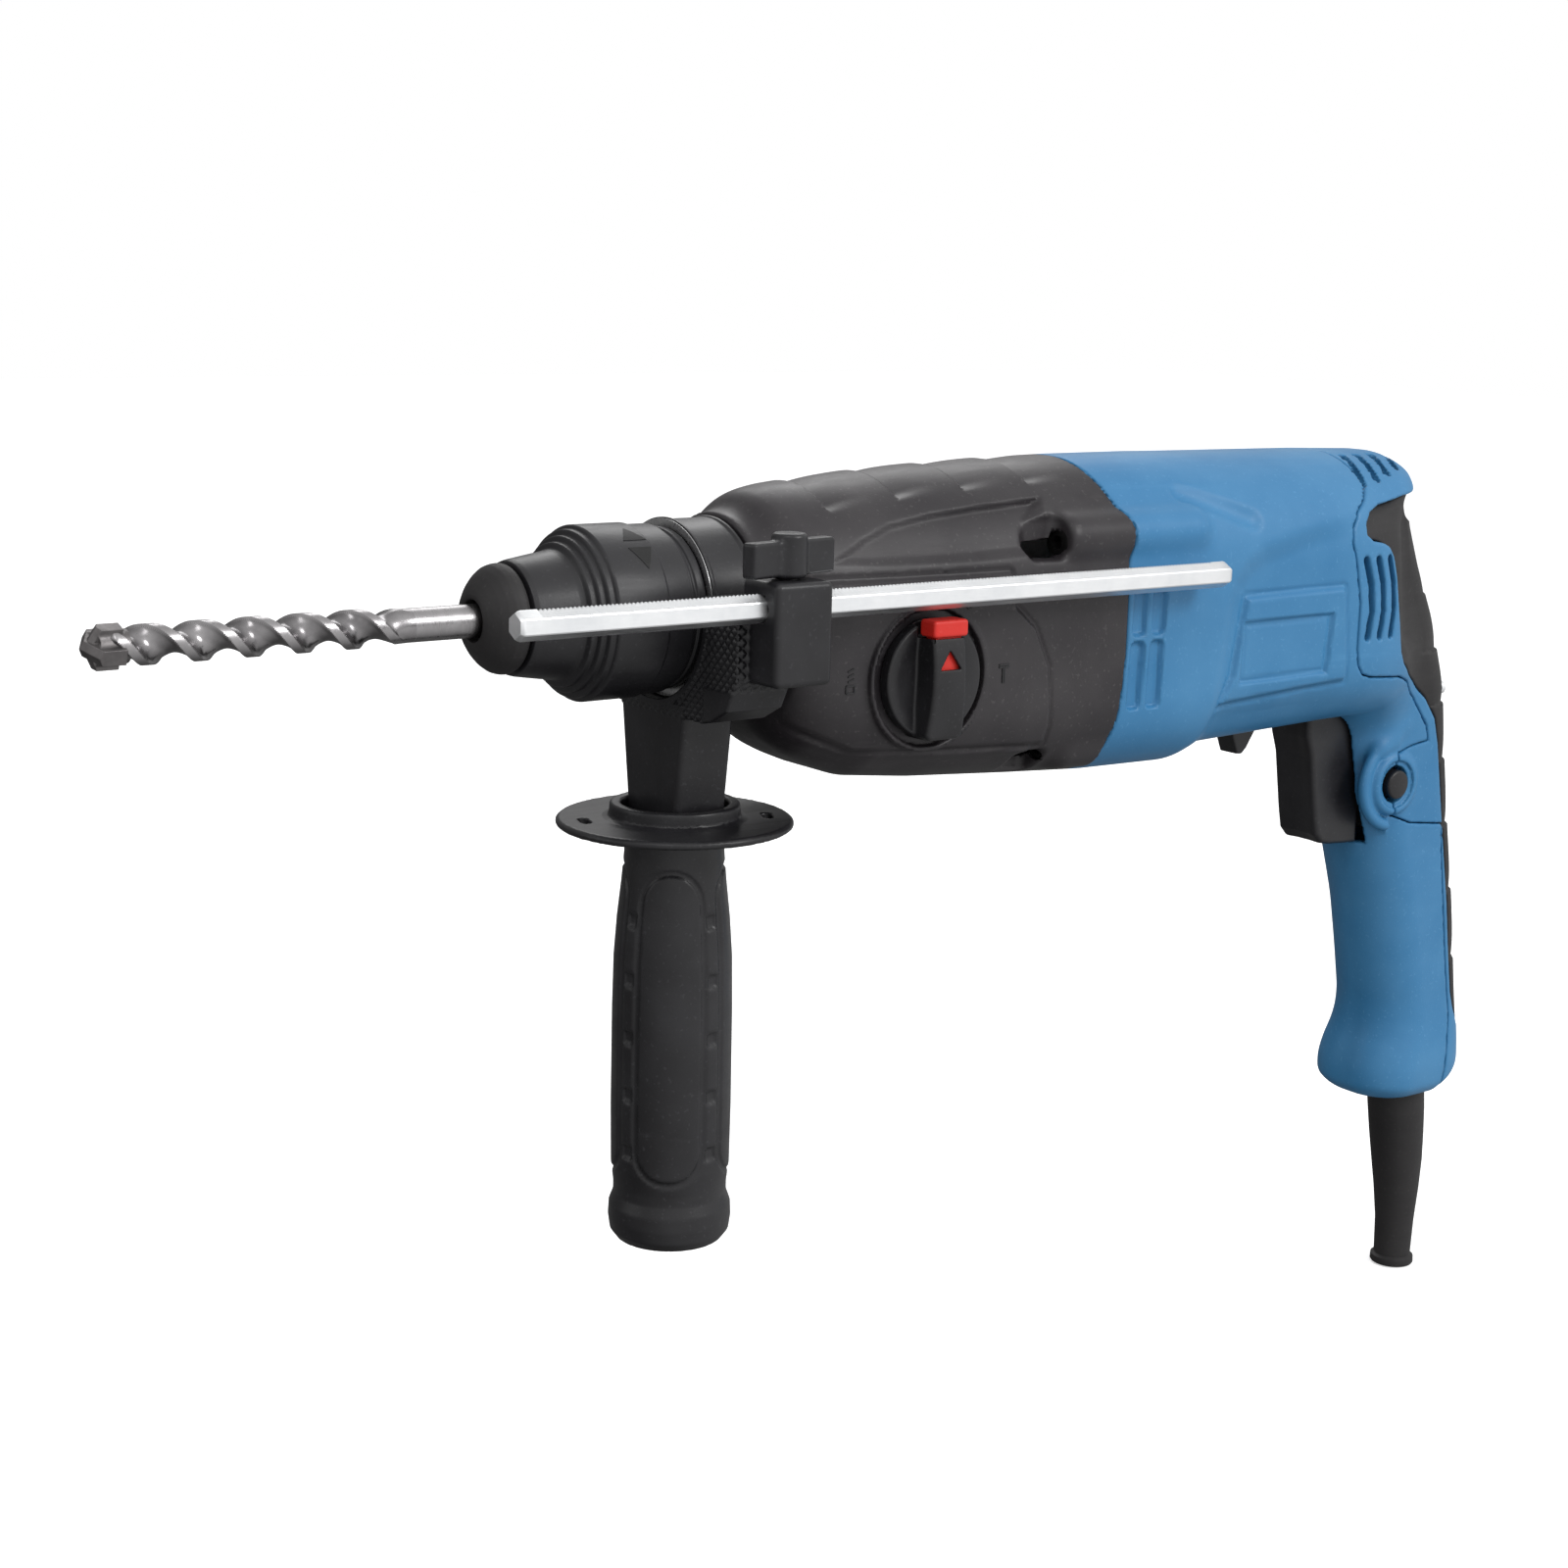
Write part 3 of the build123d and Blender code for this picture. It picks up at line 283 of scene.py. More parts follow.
def softened(points, radius, steps=4):
    """A closed profile with each corner rounded by up to the radius."""
    out = []
    count = len(points)
    for i, here in enumerate(points):
        here = np.array(here, float)
        back = np.array(points[i - 1], float) - here
        ahead = np.array(points[(i + 1) % count], float) - here
        lengths = np.linalg.norm(back), np.linalg.norm(ahead)
        reach = min(radius, 0.45 * min(lengths))
        a, b = here + back / lengths[0] * reach, here + ahead / lengths[1] * reach
        for k in range(steps + 1):
            t = k / steps
            out.append(tuple((1 - t) ** 2 * a + 2 * t * (1 - t) * here + t * t * b))
    return out


# ---- materials
def new_material(name):
    material = bpy.data.materials.new(name)
    material.use_nodes = True
    tree = material.node_tree
    shader = tree.nodes["Principled BSDF"]
    place = tree.nodes.new("ShaderNodeTexCoord")
    return material, tree, shader, place.outputs["Object"]


def noise(tree, vector, scale, detail=2.0, roughness=0.5, stretch=None):
    """Noise with features of about 1/scale metres."""
    if stretch:
        mapping = tree.nodes.new("ShaderNodeMapping")
        mapping.inputs["Scale"].default_value = stretch
        tree.links.new(vector, mapping.inputs["Vector"])
        vector = mapping.outputs["Vector"]
    node = tree.nodes.new("ShaderNodeTexNoise")
    node.inputs["Scale"].default_value = scale
    node.inputs["Detail"].default_value = detail
    node.inputs["Roughness"].default_value = roughness
    tree.links.new(vector, node.inputs["Vector"])
    return node.outputs["Fac"]


def remap(tree, value, low, high, to_low, to_high):
    node = tree.nodes.new("ShaderNodeMapRange")
    for name, number in zip(("From Min", "From Max", "To Min", "To Max"), (low, high, to_low, to_high)):
        node.inputs[name].default_value = number
    tree.links.new(value, node.inputs["Value"])
    return node.outputs["Result"]


def mixed_colour(tree, share, first, second):
    """Colour between two, each a tuple or another node's colour."""
    node = tree.nodes.new("ShaderNodeMix")
    node.data_type = "RGBA"
    tree.links.new(share, node.inputs[0])
    for socket, colour in ((node.inputs[6], first), (node.inputs[7], second)):
        if isinstance(colour, tuple):
            socket.default_value = (*colour, 1)
        else:
            tree.links.new(colour, socket)
    return node.outputs[2]


def bump(tree, shader, heights):
    """Chained bumps from (height output, strength, depth in metres)."""
    normal = None
    for height, strength, depth in heights:
        node = tree.nodes.new("ShaderNodeBump")
        node.inputs["Strength"].default_value = strength
        node.inputs["Distance"].default_value = depth
        tree.links.new(height, node.inputs["Height"])
        if normal:
            tree.links.new(normal, node.inputs["Normal"])
        normal = node.outputs["Normal"]
    tree.links.new(normal, shader.inputs["Normal"])


def plastic(name, base, light, roughness, grain=1500, depth=0.00006, marks=0.35):
    """Moulded plastic: fine spark-eroded grain, cloudy colour, dust specks and faint rubbed marks."""
    material, tree, shader, at = new_material(name)
    cloud = noise(tree, at, 28, 4, 0.6)
    speck = noise(tree, at, 900, 1, 0.4)
    rub = noise(tree, at, 60, 5, 0.7, (0.25, 1, 2.2))
    colour = mixed_colour(tree, remap(tree, cloud, 0.35, 0.7, 0, 0.35), base, light)
    colour = mixed_colour(tree, remap(tree, speck, 0.66, 0.74, 0, marks), colour, light)
    colour = mixed_colour(tree, remap(tree, rub, 0.62, 0.78, 0, marks), colour, light)
    tree.links.new(colour, shader.inputs["Base Color"])
    tree.links.new(remap(tree, rub, 0.4, 0.75, roughness, roughness + 0.14), shader.inputs["Roughness"])
    shader.inputs["Specular IOR Level"].default_value = 0.4
    bump(tree, shader, [(noise(tree, at, grain, 2, 0.6), 0.5, depth), (noise(tree, at, 160, 2), 0.1, 0.0001)])
    return material


def metal(name, base, dark, roughness, brushed=(1, 1, 1), scale=400, depth=0.00002, spread=0.18):
    """Bare metal with drawn or ground marks and stained patches."""
    material, tree, shader, at = new_material(name)
    stain = noise(tree, at, 70, 4, 0.65)
    streak = noise(tree, at, scale, 3, 0.6, brushed)
    colour = mixed_colour(tree, remap(tree, stain, 0.4, 0.75, 0, 0.8), base, dark)
    tree.links.new(colour, shader.inputs["Base Color"])
    tree.links.new(remap(tree, streak, 0.3, 0.7, roughness, roughness + spread), shader.inputs["Roughness"])
    shader.inputs["Metallic"].default_value = 1.0
    bump(tree, shader, [(streak, 0.4, depth)])
    return material


BLUE = plastic("blue_moulding", (0.030, 0.173, 0.362), (0.09, 0.28, 0.50), 0.42)
CHARCOAL = plastic("charcoal_moulding", (0.0165, 0.014, 0.017), (0.065, 0.060, 0.062), 0.40, marks=0.5)
BLACK = plastic("black_moulding", (0.0085, 0.008, 0.0095), (0.045, 0.045, 0.05), 0.34, grain=1100)
INK = plastic("black_ink", (0.003, 0.003, 0.003), (0.012, 0.012, 0.012), 0.5)
RUBBER = plastic("black_rubber", (0.011, 0.010, 0.011), (0.04, 0.038, 0.038), 0.56, grain=700, depth=0.0001)
RED = plastic("red_button", (0.62, 0.018, 0.012), (0.75, 0.10, 0.07), 0.34, marks=0.2)
ZINC = metal("zinc_rod", (0.93, 0.94, 0.95), (0.78, 0.80, 0.82), 0.30, (0.15, 3, 3), 900)
STEEL = metal("ground_steel", (0.36, 0.35, 0.355), (0.20, 0.19, 0.195), 0.22, (3, 0.4, 0.4), 500)
DARK = metal("blackened_steel", (0.07, 0.068, 0.068), (0.03, 0.03, 0.03), 0.36)
# Steel for the deep flute faces, darker than the lands: painted shade and painted dark reflection in the
# flutes, over random stained patches.
SHADED_FLUTE = metal("steel_with_painted_flute_shade", (0.31, 0.30, 0.305), (0.06, 0.056, 0.06), 0.17, (1, 1, 1), 350, 0.00004)
CARBIDE = metal("brazed_carbide", (0.20, 0.19, 0.19), (0.07, 0.065, 0.065), 0.38, (1, 1, 1), 800, 0.00008)
BRIGHT = metal("turned_steel", (0.70, 0.70, 0.70), (0.45, 0.45, 0.46), 0.22, (0.3, 2, 2), 700)
BRONZE = metal("sintered_bronze", (0.52, 0.32, 0.14), (0.30, 0.17, 0.08), 0.38)
COPPER = metal("copper_wire", (0.72, 0.30, 0.16), (0.45, 0.16, 0.08), 0.30, (1, 8, 8), 500)
BRASS = metal("brass", (0.72, 0.52, 0.20), (0.48, 0.32, 0.12), 0.28)
ALUMINIUM = metal("cast_aluminium", (0.66, 0.67, 0.69), (0.48, 0.49, 0.51), 0.42, (1, 1, 1), 900, 0.00008)
GRAPHITE = plastic("graphite", (0.02, 0.02, 0.022), (0.07, 0.07, 0.075), 0.55)

# ---- the outer form
NOSE_X = 72.2
HANDLE_AXIS = 61.5
ROD_Y, ROD_Z = -44.0, 5.0
KNOB = (121.0, -19.0)       # middle of the mode knob: x, z
KNOB_R = 16.4
LOCK = (337.0, -74.0)       # middle of the lock-on button: x, z
BOOT_X = 370.5
BARREL_X = (72, 77, 78, 80.5, 84, 90, 97, 107, 130, 166, 195, 228, 240, 300, 330, 360)
BARREL_TOP = (25, 25.3, 26.8, 29.2, 30.9, 32.1, 32.8, 33.8, 35.5, 36.9, 37.4, 37.3, 37.1, 36.6, 35.8, 34.6)
BARREL_BOTTOM = (-25, -26, -28.5, -32.6, -37, -41.6, -45, -49, -51.4, -53.8, -55.5, -55.8, -51.6, -49.5,
                 -49.3, -49)
BARREL_HALF = (25, 25.3, 26.6, 28.4, 29.6, 31, 32.2, 33.6, 34.5, 35, 35.2, 35.9, 36, 36, 35.6, 35)
# Upright line of the back of the barrel, and of the handle behind the hand.
BACK_Z = (-60, -49, -30, 6, 13, 19, 25, 30, 34.7, 40)
BACK_X = (340, 340, 339, 335, 334.2, 335.4, 339, 339.6, 336.4, 332)
HANDLE_Z = (-189, -186, -180, -172, -164, -155, -137, -118, -100, -80, -60, -43, -20, 0, 15)
HANDLE_FRONT = (345, 341.6, 340.8, 342.6, 346, 346.4, 342.6, 338.6, 333, 326, 321.5, 319, 318, 318, 320)
HANDLE_BACK = (383, 386.5, 388, 388.2, 388.4, 387.8, 385.7, 382.7, 379, 374.5, 370.4, 366.2, 357, 347, 341)
HANDLE_HALF = (16.6, 19, 20, 19.6, 18.4, 17.5, 17, 17, 17.1, 17.8, 18.5, 20, 21, 21, 20)


def barrel(x, y, z):
    top = eased(x, BARREL_X, BARREL_TOP, 2.2)
    bottom = eased(x, BARREL_X, BARREL_BOTTOM, 2.2)
    half = eased(x, BARREL_X, BARREL_HALF, 2.2)
    middle, tall = (top + bottom) / 2, (top - bottom) / 2
    limit = np.minimum(half, tall) - 0.3
    r = np.where(z > middle, np.minimum(33.5, limit), np.minimum(24, limit))
    q_y = np.abs(y) - half + r
    q_z = np.abs(z - middle) - tall + r
    return np.minimum(np.maximum(q_y, q_z), 0) + np.hypot(np.maximum(q_y, 0), np.maximum(q_z, 0)) - r


def handle(x, y, z):
    front = eased(z, HANDLE_Z, HANDLE_FRONT, 4)
    back = eased(z, HANDLE_Z, HANDLE_BACK, 4)
    half = eased(z, HANDLE_Z, HANDLE_HALF, 4)
    centre, depth = (front + back) / 2, (back - front) / 2
    r = 16
    q_x = np.abs(x - centre) - depth + r
    q_y = np.abs(y) - half + r
    side = np.minimum(np.maximum(q_x, q_y), 0) + np.hypot(np.maximum(q_x, 0), np.maximum(q_y, 0)) - r
    return fillet_max(side, -188 - z + 0.5 * np.maximum(x - 370, 0), 5)


def rear_body(x, y, z):
    """Motor barrel, its overhanging back and the handle, before their details."""
    back = fillet_max(x - eased(z, BACK_Z, BACK_X, 1.5), np.abs(y) - 41, 39)
    body = fillet_max(barrel(x, y, z), back, 9)
    grip = np.maximum(handle(x, y, z), z - 13)
    return fillet_min(body, grip, 9)


def edge_line(distance):
    """Depth of the fine groove along the foot of a step, at a distance from its edge."""
    return 0.5 * (1 - step(np.abs(distance - 0.9), 0.2, 1.1))


# ---- gear housing
PANEL_RISE = 1.3
SCALLOP_X, SCALLOP_PITCH = 96.7, 23.5
LEAF = [(89, 12.6), (95.5, 16), (103, 19.7), (112.4, 22.9), (128, 25.2), (146, 26.6), (169, 28.2), (167, 24),
        (161, 20), (160, 12.4), (139, 11.7), (120, 11.6), (104, 11.7)]
KNOB_PANEL = [(80, 8), (150, 8), (151.5, -1.5), (158.8, -7.6), (164.2, -19), (165.9, -36.4), (165.9, -42),
              (100, -38.6), (80, -30)]
LOW_RIDGE = [(74, -29), (84, -35), (100, -39.5), (130, -41.8), (161, -43.5)]


def gear_split(z):
    """Where the gear housing ends, level by level."""
    return eased(z, (-60, -50, -38, -20, 10, 14, 19, 23, 28, 33, 37.5), (190, 190.5, 193, 195, 195, 196, 196,
                 194.6, 193.4, 192.2, 191), 1.5)


def screw_boss(x, y, z, front, side_y, side_z, r):
    return capsule(x, np.abs(y), z, (front, side_y, side_z), (300, side_y, side_z), r)


def gear_outer(x, y, z):
    side = np.abs(y)
    f = barrel(x, y, z)
    # Overlapping scales along the top.
    t = np.mod((x - SCALLOP_X) / SCALLOP_PITCH, 1)
    on_top = step(z, 20, 25) * (1 - step(side, 16, 21))
    on_top = on_top * step(x, SCALLOP_X - 3, SCALLOP_X + 1) * (1 - step(x, 180, 186))
    f = f + 1.6 * (1 - t) ** 2.5 * on_top
    # Panel round the mode knob stands a little proud.
    panel = outline(x, z, KNOB_PANEL)
    f = f + (edge_line(panel) - PANEL_RISE * (1 - step(panel, -0.9, 0.3))) * step(side, 18, 24)
    f = blend_min(f, fillet_max(screw_boss(x, y, z, 175, 29.2, 16.4, 6.9), 170.5 - x, 1.2), 3)
    f = blend_min(f, np.maximum(screw_boss(x, y, z, 180, 24, -45.2, 6.6), 172 - x), 3)
    # Leaf-shaped hollow that runs into the screw pocket.
    leaf = outline(x, z, LEAF)
    f = f + (0.8 + 1.3 * step(x, 95, 150)) * (1 - step(leaf, -2.6, 0.2)) * step(side, 14, 20)
    pocket = np.maximum(block(x, side, z, (164.2, 36, 17.4), (7.4, 8.4, 6.6), 3.5), 157 - x)
    f = fillet_max(f, -pocket, 1.0)
    f = np.maximum(f, -drum(side, z, x, (29, 15), 3.4, 170, 177))
    low = block(x, side, z, (164.5, 28, -48.5), (5.5, 9, 4.2), 2.5)
    f = fillet_max(f, -low, 1.2)
    f = np.maximum(f, -drum(side, z, x, (24, -45), 3.4, 170, 177))
    # Crease along the bottom of each side.
    crease = line_distance(x, z, LOW_RIDGE)
    return f - 0.9 * (1 - step(crease, 0.2, 2.6)) * step(side, 14, 18) * step(x, 80, 96)


def gear_shell(x, y, z):
    f = gear_outer(x, y, z)
    f = fillet_max(f, NOSE_X - x, 0.9)
    f = fillet_max(f, x - gear_split(z) + SIDE_GAP, 0.45)
    # Round recess of the mode knob, with a raised lip.
    across = np.hypot(x - KNOB[0], z - KNOB[1])
    f = blend_min(f, fillet_max(np.maximum(across - 20.6, y + 20), -35.9 - y, 0.5), 0.8)
    f = fillet_max(f, -np.maximum(across - 19, y + 33.55), 0.5)
    f = np.maximum(f, -np.maximum(across - 8.2, y + 20))
    hollow = np.maximum(barrel(x, y, z) + GEAR_WALL, 78 - x)
    # Room for the sliding plate behind the knob and for the intermediate gear.
    hollow = np.minimum(hollow, block(x, -y, z, (121, 20, -21), (20.5, 8.9, 10.6)))
    hollow = np.minimum(hollow, drum(y, z, x, (0, -31), 19.7, 175, 184))
    bore = np.hypot(y, z) - 18.6
    return np.maximum(np.maximum(f, -hollow), -bore)


moulding("gear_case", gear_shell, (NOSE_X, -37, -57), (197, 37, 38), 0.95, "housing",
         CHARCOAL, ["gear_housing"])

# ---- motor housing, rear cover and grip pad
RIDGE = [(229.5, -60), (230.8, -30), (233.6, -6.4), (236.4, 2.2), (241.8, 8.6), (250, 12.8), (268.4, 16.9),
         (287.8, 20.4), (299.8, 23.2), (345, 27), (345, -60)]
PANEL = [(245, -4.4), (287.5, -3.6), (290.5, -33), (235.8, -36.8), (240.8, -28)]
LABEL = [(244.6, -11.8), (283, -11.3), (281.6, -30), (243.2, -30.8)]
COVER_SEAM = [(303.5, 45), (302.6, 26), (299, 22.4), (294.6, 19.4), (291.4, 14.5), (290.8, 9.5), (292.6, 2.4),
              (295, -9), (295, -24), (296, -29), (298.4, -31.8), (302.5, -33), (319, -34.4), (330, -37.8),
              (341, -45), (350, -55), (352, -60.5), (344, -61.6), (337, -63.6), (337, -84.6), (347, -88.4),
              (363.5, -90.5), (370, -130), (374.5, -160), (371, -187), (372, -195), (410, -195), (410, 45)]
PAD_EDGE = [(345, 24.2), (319.3, 22.8), (305, 20.6), (300.2, 18.6), (297.6, 15.4), (297.5, 12.4), (300, 10.4),
            (305, 9.6), (308, 8.2), (310.4, 5), (313, -2), (316.4, -17), (318.2, -26), (321, -30),
            (327, -33.6), (338, -38.4), (348, -45.5), (354.4, -53), (358, -62), (362, -79), (367, -100),
            (371, -119), (374, -138), (376.2, -152), (378.4, -158), (382, -163.5), (388, -167), (400, -168.5),
            (400, 24.2)]
PAD_NOTCHES = (8, -11, -30, -49, -69, -92, -116, -141)
OUTLETS = [(200.2, -6.3, 13.4), (207.8, -6.3, 13.4), (199.4, -24.6, 20), (207, -24.6, 20)]
SIDE_VENT = [(296.4, 4.4), (299.2, -3.5), (300.3, -12), (299, -20)]
TOP_VENTS = [((307.7, 12, 34.7), (302.9, 25, 27)), ((314.7, 11.5, 34.4), (310.7, 23.4, 28)),
             ((321.9, 11, 34.2), (317.9, 21, 29.2)), ((329.3, 9.9, 33.9), (325.2, 18.2, 30.4))]


def rear_outer(x, y, z):
    """Rear body with the sculpted details of its sides."""
    side = np.abs(y)
    f = rear_body(x, y, z)
    f = blend_min(f, capsule(x, side, z, (190, 29.2, 16.4), (222.5, 29.2, 16.4), 6.9), 3)
    # The side is hollowed behind a curved ridge, and a panel stands up from it.
    on_side = step(side, 17, 23) * (1 - step(x, 322, 336))
    hollow = 1 - step(outline(x, z, RIDGE), -9, -0.2)
    f = f + 2.5 * hollow * on_side * (1 - step(x, 272, 306)) * step(z, -52, -40)
    panel, label = outline(x, z, PANEL), outline(x, z, LABEL)
    f = f + (edge_line(panel) - 1.5 * (1 - step(panel, -1.1, 0.3))) * on_side
    f = f + (edge_line(-label) + 1.1 * (1 - step(label, -0.35, 0.35))) * on_side
    # Grooves over the air outlets.
    for slot_x, slot_z, tall in OUTLETS:
        groove = rounded_slot(x + 0.04 * (slot_z - z), z, (slot_x, slot_z), (5.2, tall), 1.8)
        f = f + 2.0 * (1 - step(groove, -0.5, 0.3)) * on_side
    # Soft valley behind the screw boss.
    valley = capsule(x, side, z, (222, 25.5, 27), (247, 32, 18.8), 0)
    f = f + 1.7 * (1 - step(valley, 0, 5))
    # Swell round the lock-on button, on the knob side only.
    near = -y
    swell = fillet_max(np.hypot(x - LOCK[0], z - LOCK[1]) - 10.4, near - 19.4, 1.6)
    f = fillet_min(f, np.maximum(swell, 10 - near), 1.6)
    arc = np.hypot(np.hypot(x - LOCK[0] - 1, z - LOCK[1]) - 14.2, near - 16.2) - 1.9
    f = blend_min(f, np.maximum(arc, x - LOCK[0] + 1), 3)
    tail = capsule(x, near, z, (331, 15.6, -61), (340, 15.2, -54.5), 2.2)
    return blend_min(f, tail, 3.5)


def rear_details(x, y, z):
    """Adds the openings that both rear mouldings share."""
    side = np.abs(y)
    near = -y
    f = rear_outer(x, y, z)
    # Dished mouth and hole of the lock-on button.
    across = np.hypot(x - LOCK[0], z - LOCK[1])
    f = fillet_max(f, -np.maximum(across - 8, 18.4 - near), 0.5)
    f = fillet_max(f, -np.maximum(across - 6.2, 5 - near), 0.4)
    # Trigger opening and the hollow over the reversing lever.
    f = fillet_max(f, -block(x, y, z, (303.5, 0, -72.5), (41.5, 9.6, 22.9), 0.5), 0.8)
    f = np.maximum(f, -block(x, y, z, (281, 0, -55), (19, 17, 5.5), 1))
    f = np.maximum(f, -np.maximum(np.hypot(x - BOOT_X, y) - 8.8, z + 178))
    # Hook slot at the back of the handle's foot.
    return fillet_max(f, -block(x, y, z, (391.4, 0, -172), (5.2, 30, 2.6), 1), 1)


def motor_shell(x, y, z):
    details = rear_details(x, y, z)
    f = fillet_max(details, -(x - gear_split(z) - SIDE_GAP), 0.45)
    f = fillet_max(f, -outline(x, z, COVER_SEAM) + SIDE_GAP, 0.5)
    # A lip reaches forward inside the gear housing.
    lip = np.maximum(details + 1.1, np.abs(x - gear_split(z)) - 4)
    core = np.maximum(rear_body(x, y, z) + REAR_WALL, 184 - x)
    return np.maximum(np.minimum(f, lip), -core)


def pad_line(x, z):
    return outline(x, z, PAD_EDGE)


def cover_shell(x, y, z):
    side = np.abs(y)
    f = fillet_max(rear_details(x, y, z), outline(x, z, COVER_SEAM) + SIDE_GAP, 0.5)
    f = np.maximum(f, -np.maximum(rear_body(x, y, z) + REAR_WALL, 192 - x))
    # Air inlets in each side and over the top corner.
    for shift in (0, 5.6, 11.2):
        vent = line_distance(x - shift, z, SIDE_VENT) - 1.25
        f = fillet_max(f, -np.maximum(vent, 26 - side), 0.6)
    for start, end in TOP_VENTS:
        for sunk in (0, 2.2, 4.4):
            cut = [(a, b - 0.6 * sunk, c - 0.8 * sunk) for a, b, c in (start, end)]
            f = np.maximum(f, -capsule(x, side, z, cut[0], cut[1], 1.45))
    window = np.maximum(pad_line(x, z) - 0.25, -(rear_body(x, y, z) + 7))
    return fillet_max(f, -window, 1.1)


def pad_shell(x, y, z):
    body = rear_body(x, y, z)
    sunk = 0.3 + 3.2 * (1 - step(x, 322, 340)) * step(z, -34, -20)
    f = body + sunk
    for notch in PAD_NOTCHES:
        t = (z - notch) / 17
        f = f + 0.95 * np.where((t > 0) & (t < 1), (1 - np.clip(t, 0, 1)) ** 3, 0) * step(x, 340, 350)
    f = np.maximum(f, -(body + 7.4))
    return fillet_max(f, pad_line(x, z), 0.7)


moulding("motor_case", motor_shell, (184, -37, -190), (380, 37, 38), 1.0, "housing", BLUE,
         ["motor_housing"])
moulding("rear_case", cover_shell, (288, -37, -190), (392, 37, 38), 0.85, "housing", BLUE,
         ["rear_cover"])
moulding("grip_pad", pad_shell, (295, -37, -170), (392, 37, 26), 0.8, "housing", RUBBER,
         ["rear_grip_pad"])

# ---- trigger, lever, lock button, boot
TRIGGER = [(303.6, -49), (304.2, -57), (306.6, -64), (308.2, -74), (309.8, -84), (311.2, -90.6), (314, -93.6),
           (318, -94.3), (326, -94.9), (331.2, -95), (331.2, -49)]


def trigger_form(x, y, z):
    profile = outline(x, z, TRIGGER)
    side = np.abs(y) - 8.7
    f = fillet_max(profile, side, 1.8)
    # Finger hollow down the front.
    return f + 0.8 * (1 - step(np.abs(y), 2, 7)) * (1 - step(x - 0.12 * (-50 - z), 303, 312))


def trigger_full(x, y, z):
    stem = drum(y, z, x, (0, -72), 3, 330, 342)
    return np.minimum(trigger_form(x, y, z), stem)


moulding("trigger_cap", trigger_full, (303, -9, -96), (343, 9, -49), 0.55, "trigger", BLACK,
         ["trigger"])


def lock_form(x, y, z):
    crown = np.sqrt((x - LOCK[0]) ** 2 + (y - 10) ** 2 + (z - LOCK[1]) ** 2) - 30.2
    return fillet_max(drum(x, z, y, LOCK, 4.9, -30, -12.4), crown, 0.8)


moulding("lock_cap", lock_form, (331, -20.4, -80), (343, -12.4, -68), 0.35, "lock_button",
         BLACK, ["lock_button"])

LEVER = [(272, -50.3), (287, -50.1), (287, -52.2), (284.2, -53), (280.4, -58.8), (278.4, -60.6),
         (276.2, -60.4)]


def lever_form(x, y, z):
    tip = fillet_max(outline(x, z, LEVER), np.abs(y) - 4, 0.7)
    arm = block(x, y, z, (298, 0, -51.1), (16, 4, 1.2), 0.4)
    pivot = np.minimum(drum(x, y, z, (314, 0), 7, -52.3, -49.9), drum(x, y, z, (314, 0), 3, -52, -46))
    return np.minimum(np.minimum(tip, arm), pivot)


moulding("lever_arm", lever_form, (271, -8, -62), (322, 8, -45.5), 0.45, "reversing_lever",
         BLACK, ["reversing_lever"])

# Rings down the cord sleeve, outside then inside: x, z, radius.
BOOT = [(BOOT_X, -182, 8.4), (BOOT_X, -188.3, 8.4), (BOOT_X, -188.6, 10), (371.6, -197, 9.9),
        (372.8, -207, 9.5), (374, -217, 8.9), (374.9, -228, 7.9), (375.3, -240, 6.8), (375.3, -253.2, 6.4),
        (375.3, -253.9, 7.5), (375.3, -256, 7.6), (375.3, -256.5, 7.2), (375.3, -256.5, 4.1),
        (375.3, -232, 4.0), (372, -210, 4.0), (BOOT_X, -182, 4.0)]


def boot():
    """Cord sleeve: rings down a slightly curved line, with a turned-out end and a bore."""
    segments = 72
    turns = np.arange(segments) * 2 * math.pi / segments
    rings = [np.stack([x + r * np.cos(turns), r * np.sin(turns), np.full(segments, z)], 1)
             for x, z, r in BOOT]
    vertices = np.concatenate(rings)
    faces = []
    for i in range(len(BOOT)):
        j = (i + 1) % len(BOOT)
        for s in range(segments):
            t = (s + 1) % segments
            faces.append((i * segments + s, i * segments + t, j * segments + t, j * segments + s))
    piece = new_piece("boot_sleeve", vertices, faces, "housing", RUBBER)
    tidy_mesh(piece, 50)
    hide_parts("cord_boot")


boot()

# ---- side handle
HOLDER = [(-40, 2), (-37.5, 5), (-30, 6), (-20, 6), (-20, 0), (20, 0), (27, -13), (22.6, -26), (15, -27.7),
          (-24, -27.7), (-28, -26.9), (-35.4, -23), (-38.6, -17), (-40, -14)]
KNURL_PITCH = 2.9


